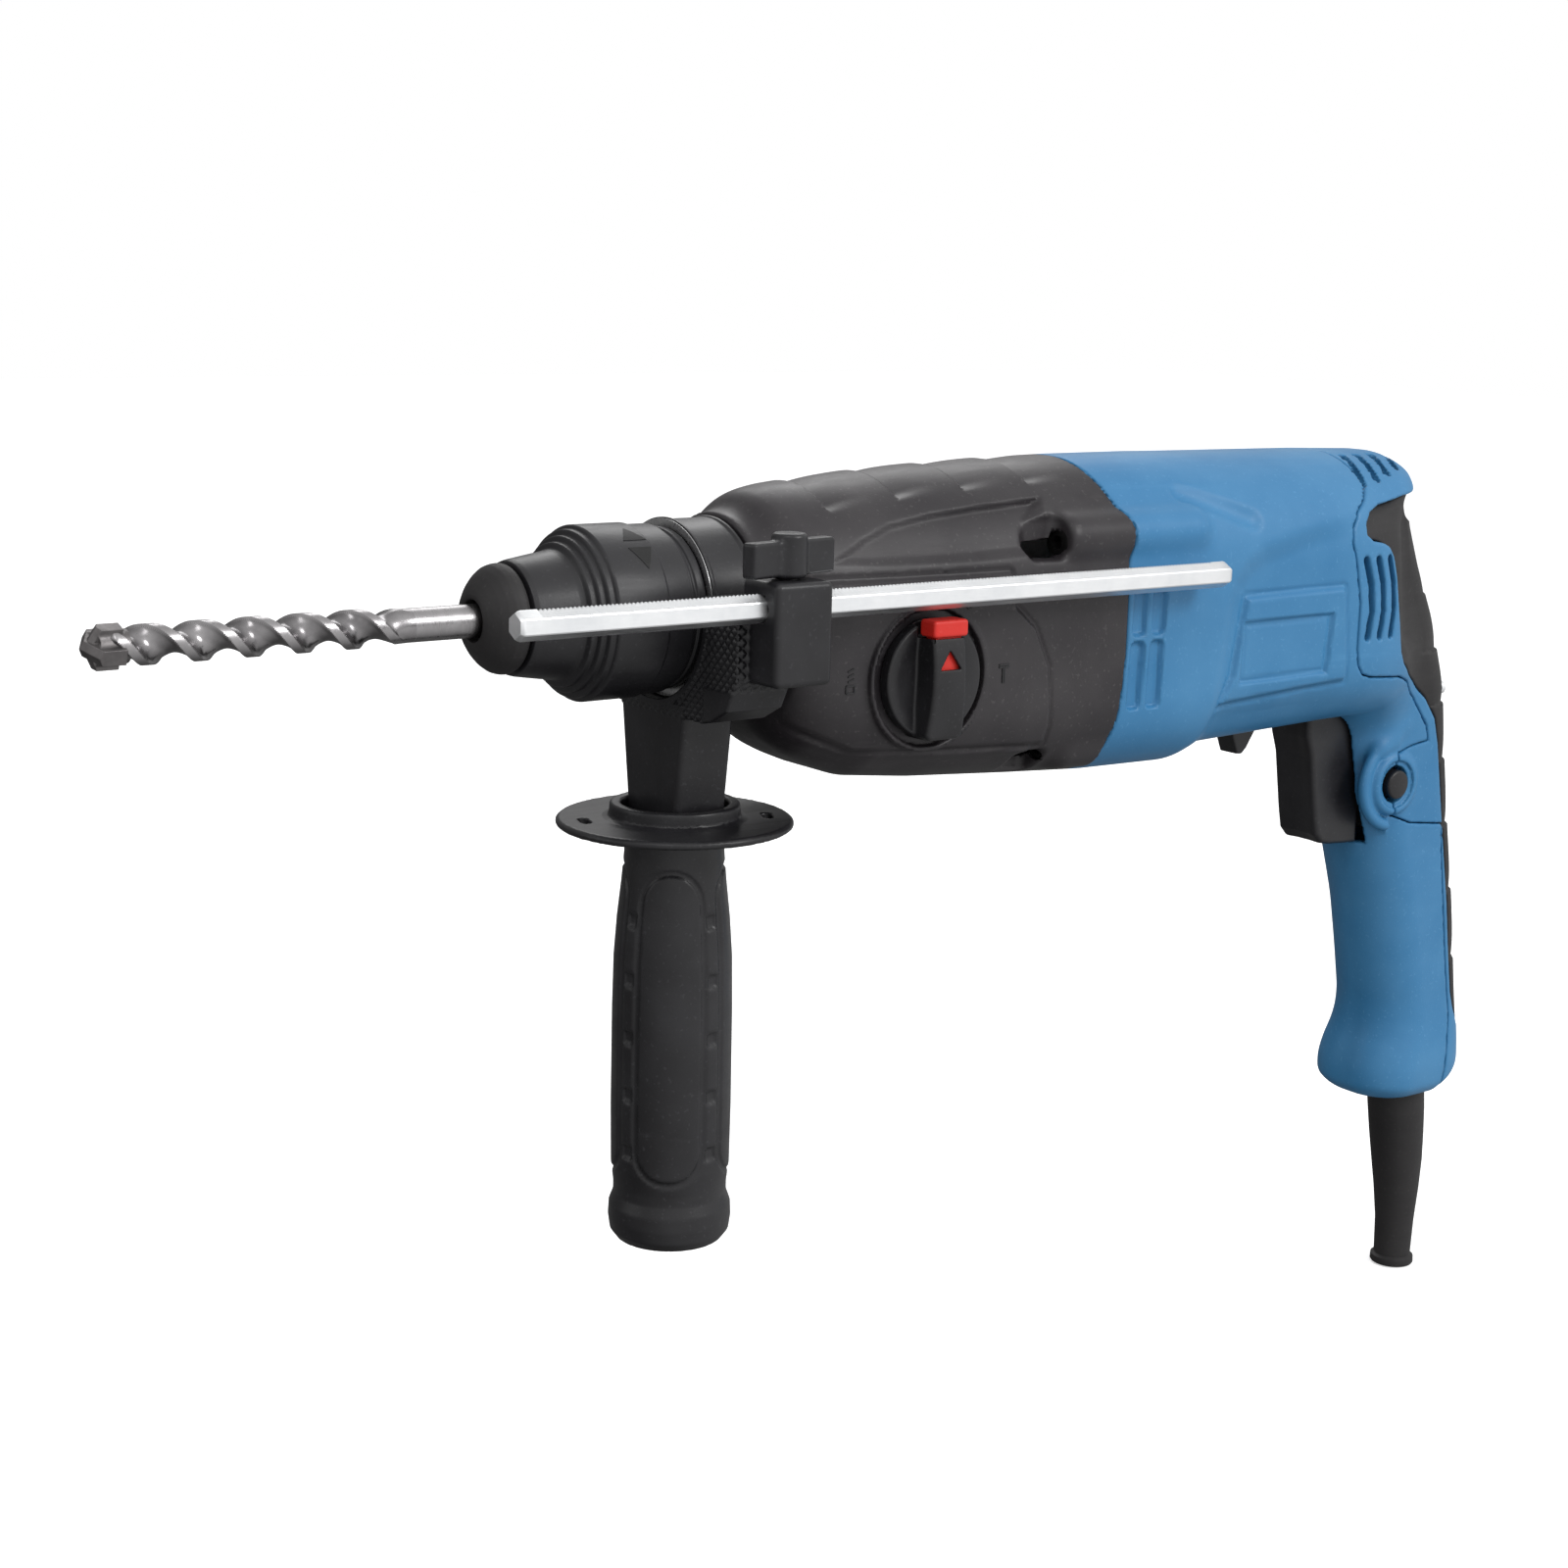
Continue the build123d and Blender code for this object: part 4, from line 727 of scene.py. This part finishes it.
def holder_form(x, y, z):
    lump = fillet_max(outline(y, z, HOLDER), np.abs(x - 62.15) - 9.15, 0.8)
    # Diamond knurl on the front and round the lower edge; the outer lower facet stays plain.
    plain = step(-y, 24.5, 25.5) * step(-z, 17, 18)
    band = np.where(np.hypot(y, z) > 26.2, 1, 0) * (1 - plain)
    along = y + (x - 53) * 0.9
    groove = np.maximum(np.abs(np.mod((along + z) / KNURL_PITCH, 1) - 0.5),
                        np.abs(np.mod((along - z) / KNURL_PITCH, 1) - 0.5))
    lump = lump + band * 1.5 * (groove - 0.1) * (x < 70.3)
    shaft = np.interp(z, (-57.7, -26), (12, 16))
    neck = fillet_max(fillet_max(np.abs(x - HANDLE_AXIS) - 8.2, np.abs(y + 0.3) - shaft, 1.8),
                      np.abs(z + 41) - 16.6, 0.3)
    f = blend_min(lump, neck, 0.8)
    clamp = block(x, y, z, (66, ROD_Y + 0.1, -1.5), (9, 8, 13.5), 1.7)
    f = blend_min(f, clamp, 0.8)
    f = np.maximum(f, 24.3 - np.hypot(y, z))
    hexagon = np.abs(z - ROD_Z)
    for turn in (60, 120):
        c, s = math.cos(math.radians(turn)), math.sin(math.radians(turn))
        hexagon = np.maximum(hexagon, np.abs((z - ROD_Z) * c + (y - ROD_Y) * s))
    f = fillet_max(f, 3.5 - hexagon, 0.3)
    f = np.maximum(f, -drum(x, y, z, (HANDLE_AXIS, 0), 4, -60, -20))
    return np.maximum(f, -drum(x, y, z, (66, ROD_Y), 2.6, 9, 20))


moulding("holder_block", holder_form, (52.5, -53, -58), (76, 28, 13), 0.46, "side_handle",
         BLACK, ["handle_holder"])
BAND = [(57, 21.55), (71.5, 21.55), (71.5, 24.1), (70.6, 24.1), (70, 23.6), (58.4, 23.6), (57.9, 24.2),
        (57, 24.2)]
lathe("holder_band", softened(BAND, 0.25), "side_handle", BLACK, replaced=["clamp_band"])
# Turned outline of the side grip: radius, z.

GRIP = [(3.95, -58), (14.6, -58), (14.8, -54.2), (15.4, -53.7), (17.4, -53.7), (17.9, -54.2), (18.1, -57.4),
        (20, -58), (31.8, -58), (32.6, -58.7), (32.6, -59.6), (31.9, -60.2), (16.4, -60.4), (14.6, -61.4),
        (13.6, -63.6), (13.8, -68), (14.5, -76), (15.6, -86), (16.4, -97), (16.7, -112), (16.8, -140),
        (16.6, -157), (15.9, -162.5), (15.9, -165.5), (17.1, -168.8), (17.3, -172.5), (16.8, -176.2),
        (15, -178.6), (11, -179.6), (0, -179.7), (0, -88), (3.95, -88)]


def grip_form(x, y, z):
    r = np.hypot(x - HANDLE_AXIS, y)
    f = outline(r, z, GRIP) - 0.05
    angle = np.arctan2(y, x - HANDLE_AXIS)
    # Four long inset pads with rounded ends, outlined by a groove.
    quarter = np.mod(angle - math.radians(9), math.pi / 2) - math.pi / 4
    pad = rounded_slot(quarter * 15.5, z, (0, -115), (18.5, 88), 9)
    on_grip = step(-z, 66, 68) * (1 - step(-z, 163, 165))
    f = f + 0.55 * (1 - step(np.abs(pad), 0.3, 1.3)) * on_grip
    # Finger notches beside the pads.
    between = step(pad, 0.8, 1.8)
    for k in range(5):
        notch = rounded_slot((np.abs(quarter) - math.pi / 4) * 15.5, z, (0, -85 - 16.5 * k), (7.5, 4.4), 2.1)
        f = f + 0.9 * (1 - step(notch, -1.3, 0.6)) * between * on_grip
    # Two slots through the hand guard.
    for turn in (math.radians(163), math.radians(-28)):
        across = (x - HANDLE_AXIS) * math.cos(turn) + y * math.sin(turn)
        along = y * math.cos(turn) - (x - HANDLE_AXIS) * math.sin(turn)
        slot = rounded_slot(across, along, (25.5, 0), (3, 7), 1.5)
        f = np.maximum(f, -np.maximum(slot, np.abs(z + 59) - 4))
    return f


moulding("grip_body", grip_form, (28, -33.5, -180), (95, 33.5, -53), 0.72, "side_grip",
         BLACK, ["side_grip"])

WING_TURN = math.radians(12)


def wing_form(x, y, z):
    u, v = x - 66, y - ROD_Y
    along = u * math.cos(WING_TURN) + v * math.sin(WING_TURN)
    across = v * math.cos(WING_TURN) - u * math.sin(WING_TURN)
    hub = fillet_max(np.hypot(u, v) - 4.7, np.abs(z - 18.25) - 5.75, 1.2)
    wide = 2.0 + 0.3 * step(np.abs(along), 5, 15)
    wings = fillet_max(np.abs(across) - wide, np.abs(along) - 15.4, 0.8)
    wings = fillet_max(wings, np.abs(z - 17.6) - 4.6, 0.9)
    stem = np.maximum(np.hypot(u, v) - 2.5, np.abs(z - 11.2) - 1.8)
    return np.minimum(blend_min(hub, wings, 1.4), stem)


moulding("wing_body", wing_form, (50, -48.5, 9), (82, -39.5, 24.2), 0.4, "wing_knob", BLACK,
         ["wing_knob"])


def rod():
    """Hexagonal rod with chamfered ends and saw teeth along its top edge."""
    half, corner = 3.4, 3.4 / math.cos(math.pi / 6)
    start, end, pitch = -14.6, 224.4, 1.2
    rings = [(start, 0.82, 0), (start + 0.6, 0.94, 0), (start + 1.4, 1, 0)]
    teeth = int((end - start - 12) / pitch)
    for k in range(teeth):
        x = start + 6 + k * pitch
        rings += [(x, 1, 0), (x + 0.1, 1, 0.8), (x + pitch - 0.05, 1, 0.02)]
    rings += [(end - 1.4, 1, 0), (end - 0.6, 0.94, 0), (end, 0.82, 0)]
    base = []
    for k in range(6):
        a, b = math.radians(30 + 60 * k), math.radians(90 + 60 * k)
        for t in (0.06, 0.94):
            base.append((corner * ((1 - t) * math.cos(a) + t * math.cos(b)),
                         corner * ((1 - t) * math.sin(a) + t * math.sin(b))))
    vertices = []
    for x, share, cut in rings:
        for y, z in base:
            lowered = z * share - cut if z > half else z * share
            vertices.append((x, ROD_Y + y * share, ROD_Z + lowered))
    n = len(base)
    faces = [tuple(range(n))[::-1], tuple(range(len(vertices) - n, len(vertices)))]
    for i in range(len(rings) - 1):
        for k in range(n):
            j = (k + 1) % n
            faces.append((i * n + k, i * n + j, (i + 1) * n + j, (i + 1) * n + k))
    piece = new_piece("gauge_rod", vertices, faces, "depth_rod", ZINC)
    tidy_mesh(piece, 25)
    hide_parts("depth_rod")


rod()

# ---- mode knob
def knob_form(x, y, z):
    u, v, out = x - KNOB[0], z - KNOB[1], -y
    disc = fillet_max(np.hypot(u, v) - KNOB_R, np.abs(out - 35.8) - 1.9, 0.8)
    # Dished face and the grip bar across it.
    disc = disc + 0.5 * (1 - step(np.hypot(u, v), 9, 14.5)) * step(out, 36.5, 37.5)
    bar_half = 5.6 + 0.6 * step(-v, -4, 16)
    bar = fillet_max(np.abs(u) - bar_half - 0.06 * (45 - out), np.abs(v + 0.4) - 15.9, 2.0)
    crown = out - 44.6 + 0.008 * v ** 2
    bar = fillet_max(bar, crown, 1.1)
    bar = np.maximum(bar, 33.9 - out)
    f = blend_min(disc, bar, 1.0)
    f = np.minimum(f, np.maximum(np.hypot(u, v) - 8, np.abs(out - 32.5) - 3.5))
    f = np.minimum(f, np.maximum(np.hypot(u, v + 5) - 1.8, np.abs(out - 28) - 2))
    # Pocket for the button, and the window that shows it.
    f = np.maximum(f, -block(u, out, v, (0, 41.6, 15.6), (6.45, 6.6, 3.75), 0.4))
    f = np.maximum(f, -block(u, out, v, (0, 39.8, 6.6), (4.9, 3.4, 5.6), 0.2))
    window = outline(u, v, [(-3.7, 3.3), (3.7, 3.3), (0, 8.6)])
    return fillet_max(f, -np.maximum(window, 41 - out), 0.25)


moulding("knob_body", knob_form, (104, -45.2, -36), (138, -25, -2), 0.45, "mode_knob", BLACK,
         ["mode_knob"])


def button_form(x, y, z):
    u, v, out = x - KNOB[0], z - KNOB[1], -y
    cap = fillet_max(fillet_max(np.abs(u) - 6, np.abs(v - 14.6) - 2.35, 1.0), np.abs(out - 40.9) - 3.3, 0.9)
    sign = np.maximum(np.abs(u) - 4.5, np.maximum(np.abs(v - 7.4) - 5, np.abs(out - 40.9) - 2))
    return np.minimum(cap, sign)


moulding("button_body", button_form, (114, -44.5, -18), (128, -37, -1), 0.35, "knob_button",
         RED, ["knob_button"])


def icon(name, strokes, centre, size=0.45):
    """A small raised sign on the panel: each stroke is a bar between two points."""
    vertices, faces = [], []
    for (ax, az), (bx, bz) in strokes:
        length = math.hypot(bx - ax, bz - az)
        nx, nz = -(bz - az) / length * size / 2, (bx - ax) / length * size / 2
        first = len(vertices)
        for lift in (-0.8, 0.3):
            for px, pz in ((ax + nx, az + nz), (bx + nx, bz + nz), (bx - nx, bz - nz), (ax - nx, az - nz)):
                panel = np.interp(centre[0] + px, BARREL_X, BARREL_HALF) + PANEL_RISE
                vertices.append((centre[0] + px, -panel - lift, centre[1] + pz))
        f = first
        faces += [(f, f + 1, f + 2, f + 3), (f + 7, f + 6, f + 5, f + 4)]
        faces += [(f + k, f + 4 + k, f + 4 + (k + 1) % 4, f + (k + 1) % 4) for k in range(4)]
    piece = new_piece(name, vertices, faces, "housing", BLACK)
    tidy_mesh(piece, 30)


HAMMER = [((-1.6, 2.2), (2, 2.2)), ((-1.6, 1.5), (2, 1.5)), ((0.4, 1.5), (0.4, -3)),
          ((-0.2, 1.5), (-0.2, -3))]
DRILL = [((-1.4, -3), (1, -3)), ((1, -3), (1, -1)), ((1, -1), (-1.4, -1)), ((-1.4, -1), (-1.4, -3)),
         ((-1, 0), (0.8, 0.8)), ((-1, 1.4), (0.8, 2.2)), ((-1, 2.8), (0.8, 3.6))]
RING = [((math.cos(a) * 1.2, math.sin(a) * 1.6), (math.cos(a + 0.7) * 1.2, math.sin(a + 0.7) * 1.6))
        for a in (k * math.pi / 5 for k in range(10))]
icon("sign_hammer", HAMMER, (147, -19.4))
icon("sign_drill", DRILL, (95.5, -18.6))
icon("sign_neutral", RING, (134, 0.8))

# ---- chuck
# Turned outlines: x, radius.
SLEEVE = [(8.5, 10.9), (20, 10.9), (20, 13.6), (25.8, 13.6), (25.8, 18.3), (30, 22.0), (51.5, 22.0),
          (51.5, 22.7), (44.2, 22.7), (43.6, 23.3), (28.8, 23.3), (28.3, 22.9), (28.1, 22.2), (26.6, 22.1),
          (26.4, 21.7), (26.2, 20.6), (24.8, 20.5), (24.6, 20.1), (24.4, 19.0), (22.9, 18.9), (22.7, 18.4),
          (22.4, 17.3), (21, 16.9), (15, 16.0), (10, 15.2), (8.7, 14.8)]
SKIRT = [(40, 20.4), (53, 20.4), (53, 12.5), (56.5, 12.5), (56.5, 21.5), (56, 21.85), (54, 21.85),
         (53.6, 21.3), (53, 21.3), (52.6, 21.85), (40, 21.85)]
THIN_RING = [(56.6, 21.6), (56.8, 21.6), (56.8, 23.9), (56.6, 23.9)]
DUST_CAP = [(-1.6, 5.5), (1.4, 5.35), (2.6, 6.1), (2.6, 9.6), (7.9, 9.6), (7.9, 13.6), (7.7, 14.1),
            (6.7, 14.4), (5.4, 14.3), (4.0, 13.9), (2.4, 12.8), (0.8, 11.2), (-0.6, 9.3), (-1.4, 7.9),
            (-1.8, 6.8), (-1.8, 6.0)]
lathe("sleeve_body", softened(SLEEVE, 0.22, 3), "sleeve", BLACK, replaced=["lock_sleeve"],
      angle=60)
lathe("chuck_skirt", softened(SKIRT, 0.2), "spindle", BLACK, replaced=["chuck_ring"], angle=60)
lathe("bright_ring", softened(THIN_RING, 0.04), "side_handle", BRIGHT)
lathe("dust_cap_lip", softened(DUST_CAP, 0.3, 3), "spindle", RUBBER, replaced=["dust_cap"],
      angle=70)


def arrow(name, base_turn, tip_turn):
    """Raised triangle on the sleeve that points round it, to show which way it turns."""
    rows, columns, base_r, top_r = 8, 6, 23.1, 23.42
    vertices, faces = [], []
    for r in (base_r, top_r):
        for i in range(rows + 1):
            turn = math.radians(base_turn + (tip_turn - base_turn) * i / rows)
            half = 3.4 * (1 - i / rows) + 0.1
            for j in range(columns + 1):
                x = 39.7 + half * (2 * j / columns - 1)
                vertices.append((x, r * math.sin(turn), -r * math.cos(turn)))
    layer = (rows + 1) * (columns + 1)

    def at(i, j, k):
        return k * layer + i * (columns + 1) + j

    for i, j, k in product(range(rows), range(columns), (0, 1)):
        faces.append((at(i, j, k), at(i + 1, j, k), at(i + 1, j + 1, k), at(i, j + 1, k)))
    for i, j in product(range(rows), (0, columns)):
        faces.append((at(i, j, 0), at(i + 1, j, 0), at(i + 1, j, 1), at(i, j, 1)))
    for i, j in product((0, rows), range(columns)):
        faces.append((at(i, j, 0), at(i, j + 1, 0), at(i, j + 1, 1), at(i, j, 1)))
    piece = new_piece(name, vertices, faces, "sleeve", INK)
    tidy_mesh(piece, 30)


arrow("sleeve_arrow_on", 218, 235)
arrow("sleeve_arrow_off", 211, 196)

# ---- drill bit
LEAD = 26.6


def fluted():
    """Two-start hammer drill: a shank, a run-out and a helix cut from a round bar."""
    segments = 160
    turns = np.arange(segments) * 2 * math.pi / segments
    vertices = []
    stations = np.concatenate([np.linspace(-99.5, -19, 240), [-18.5, 0, 2, 4, 6, 12, 49, 50]])
    for x in stations:
        phase = 2 * math.pi * x / LEAD
        local = np.mod(turns - phase, math.pi) / math.pi
        # Land, then a round flute, then the next land.
        depth = np.sin(np.clip((local - 0.24) / 0.76, 0, 1) * math.pi) ** 0.6 * 2.35
        land = np.where(local < 0.24, 4.95, 4.75)
        fade = step(x, -33, -19.5)
        tip = 1 - step(x, -99.5, -97.5)
        r = (land - depth) * (1 - fade) + 4.35 * fade
        if x >= 2:
            r = np.full(segments, 4.35 + 0.65 * min((x - 2) / 4, 1))
        if x == stations[-1]:
            r = r - 0.9
        r = r * (1 - 0.22 * tip)
        vertices.append(np.stack([np.full(segments, x), r * np.cos(turns), r * np.sin(turns)], 1))
    rows = len(vertices)
    flat = np.concatenate(vertices)
    faces = [tuple(range(segments)), tuple(range((rows - 1) * segments, rows * segments))[::-1]]
    for i in range(rows - 1):
        for s in range(segments):
            t = (s + 1) % segments
            faces.append((i * segments + s, (i + 1) * segments + s, (i + 1) * segments + t, i * segments + t))
    # The deep flute faces take the darker steel as painted shade in the flutes; the lands, run-out and shank
    # take the ground steel.
    piece = new_piece("drill_body", flat, faces, "bit", SHADED_FLUTE)
    piece.data.materials.append(STEEL)
    for polygon in piece.data.polygons:
        r = math.hypot(polygon.center.y, polygon.center.z) / MM
        if polygon.center.x / MM > -19.6 or r > 4.4:
            polygon.material_index = 1
    tidy_mesh(piece, 38)
    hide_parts("drill_bit")


fluted()


def head_form(x, y, z):
    """Cross-shaped carbide head: two blades with roof-shaped cutting edges."""
    shapes = []
    for turn, reach, thick, point in ((20, 5.8, 2.0, -105.2), (110, 5.4, 1.8, -104.4)):
        c, s = math.cos(math.radians(turn)), math.sin(math.radians(turn))
        along, across = y * c + z * s, -y * s + z * c
        blade = np.maximum(np.abs(along) - reach, np.abs(across) - thick)
        roof = (point + 0.5 * np.abs(along) + 0.45 * np.abs(across) - x) * 0.88
        shapes.append(np.maximum(np.maximum(blade, roof), x + 95.6))
    core = np.maximum(np.hypot(y, z) - 4.1, np.maximum(x + 93.8, -101.3 - x))
    return blend_min(np.minimum(shapes[0], shapes[1]), core, 0.8)


moulding("drill_head", head_form, (-105.4, -6.1, -6.1), (-93.5, 6.1, 6.1), 0.22, "bit", CARBIDE,
         ["carbide_tip"])

# ---- finishes of the CAD nodes that show through
FINISHES = {
    "black_plastic": BLACK, "blue_plastic": BLUE, "black_rubber": RUBBER, "red_plastic": RED,
    "zinc_steel": ZINC, "drill_steel": STEEL, "carbide": CARBIDE, "machined_steel": BRIGHT,
    "dark_steel": STEEL, "aluminium": ALUMINIUM, "bronze": BRONZE, "copper": COPPER, "brass": BRASS,
    "graphite": GRAPHITE,
}
for part in frame["record"]["subparts"]:
    node = frame["nodes"][part["node"]]
    finish = DARK if part["node"] == "housing_screws" else FINISHES[part["material_slot"]]
    for place in node.material_slots:
        place.material = finish
    if not node.material_slots:
        node.data.materials.append(finish)


# ---- room, lights and camera
def floor():
    """A wide pale floor just under the tool, in metres."""
    level = cad_box[0].z - 0.0004
    reach = 6.0
    corners = [(x * reach, y * reach, level) for x, y in ((-1, -1), (1, -1), (1, 1), (-1, 1))]
    mesh = bpy.data.meshes.new("floor")
    mesh.from_pydata(corners, [], [(0, 1, 2, 3)])
    ground = bpy.data.objects.new("floor", mesh)
    bpy.context.scene.collection.objects.link(ground)
    material, tree, shader, at = new_material("pale_floor")
    shader.inputs["Base Color"].default_value = (0.9, 0.9, 0.9, 1)
    shader.inputs["Roughness"].default_value = 0.9
    shader.inputs["Emission Color"].default_value = (1, 1, 1, 1)
    shader.inputs["Emission Strength"].default_value = 0.46
    mesh.materials.append(material)
    # The floor lights nothing, so that undersides keep their shade.
    ground.visible_diffuse = False
    ground.visible_glossy = False


def lamp(name, place, target, size, power):
    light = bpy.data.lights.new(name, "AREA")
    light.shape = "RECTANGLE"
    light.size, light.size_y = size
    light.energy = power
    holder = bpy.data.objects.new(name, light)
    holder.location = place
    holder.rotation_euler = (Vector(target) - Vector(place)).to_track_quat("-Z", "Y").to_euler()
    bpy.context.scene.collection.objects.link(holder)


def camera():
    """At the photograph's angle: rows are the camera's right, up and backward directions."""
    right, up, back = (0.8085, -0.5881, 0.0228), (0.1003, 0.1759, 0.9793), (-0.5799, -0.7894, 0.2012)
    turn = Matrix((right, up, back)).transposed().to_4x4()
    lens = bpy.data.cameras.new("camera")
    lens.sensor_width = 36
    lens.lens = 58.5
    lens.clip_start = 0.01
    eye = bpy.data.objects.new("camera", lens)
    eye.matrix_world = Matrix.Translation((-0.3185, -0.5675, 0.0919)) @ turn
    bpy.context.scene.collection.objects.link(eye)
    bpy.context.scene.camera = eye


def studio_sky():
    """A soft white surround, brightest above and in front, that looks plain white behind the tool."""
    world = bpy.data.worlds.new("studio")
    world.use_nodes = True
    tree = world.node_tree
    surround = tree.nodes["Background"]
    surround.inputs["Color"].default_value = (1, 1, 1, 1)
    place = tree.nodes.new("ShaderNodeTexCoord")
    facing = tree.nodes.new("ShaderNodeVectorMath")
    facing.operation = "DOT_PRODUCT"
    facing.inputs[1].default_value = Vector((0.24, -0.76, 0.60))
    tree.links.new(place.outputs["Generated"], facing.inputs[0])
    tree.links.new(remap(tree, facing.outputs["Value"], -0.7, 1, 0.14, 1.1), surround.inputs["Strength"])
    plain = tree.nodes.new("ShaderNodeBackground")
    plain.inputs["Color"].default_value = (1, 1, 1, 1)
    plain.inputs["Strength"].default_value = 1.0
    path = tree.nodes.new("ShaderNodeLightPath")
    choice = tree.nodes.new("ShaderNodeMixShader")
    tree.links.new(path.outputs["Is Camera Ray"], choice.inputs[0])
    tree.links.new(surround.outputs[0], choice.inputs[1])
    tree.links.new(plain.outputs[0], choice.inputs[2])
    tree.links.new(choice.outputs[0], tree.nodes["World Output"].inputs["Surface"])
    bpy.context.scene.world = world
    bpy.context.scene.view_settings.view_transform = "Standard"


floor()
middle = (0.15, 0, -0.05)
lamp("key", (0.75, -1.3, 0.95), middle, (0.6, 0.5), 11)
lamp("rim", (-0.7, -0.7, 1.2), middle, (0.5, 0.4), 2.5)
lamp("back", (0.9, 1.2, 1.1), middle, (1.0, 0.8), 7)
lamp("left", (-1.4, 0.6, 0.5), middle, (0.8, 1.0), 2.5)
studio_sky()
camera()
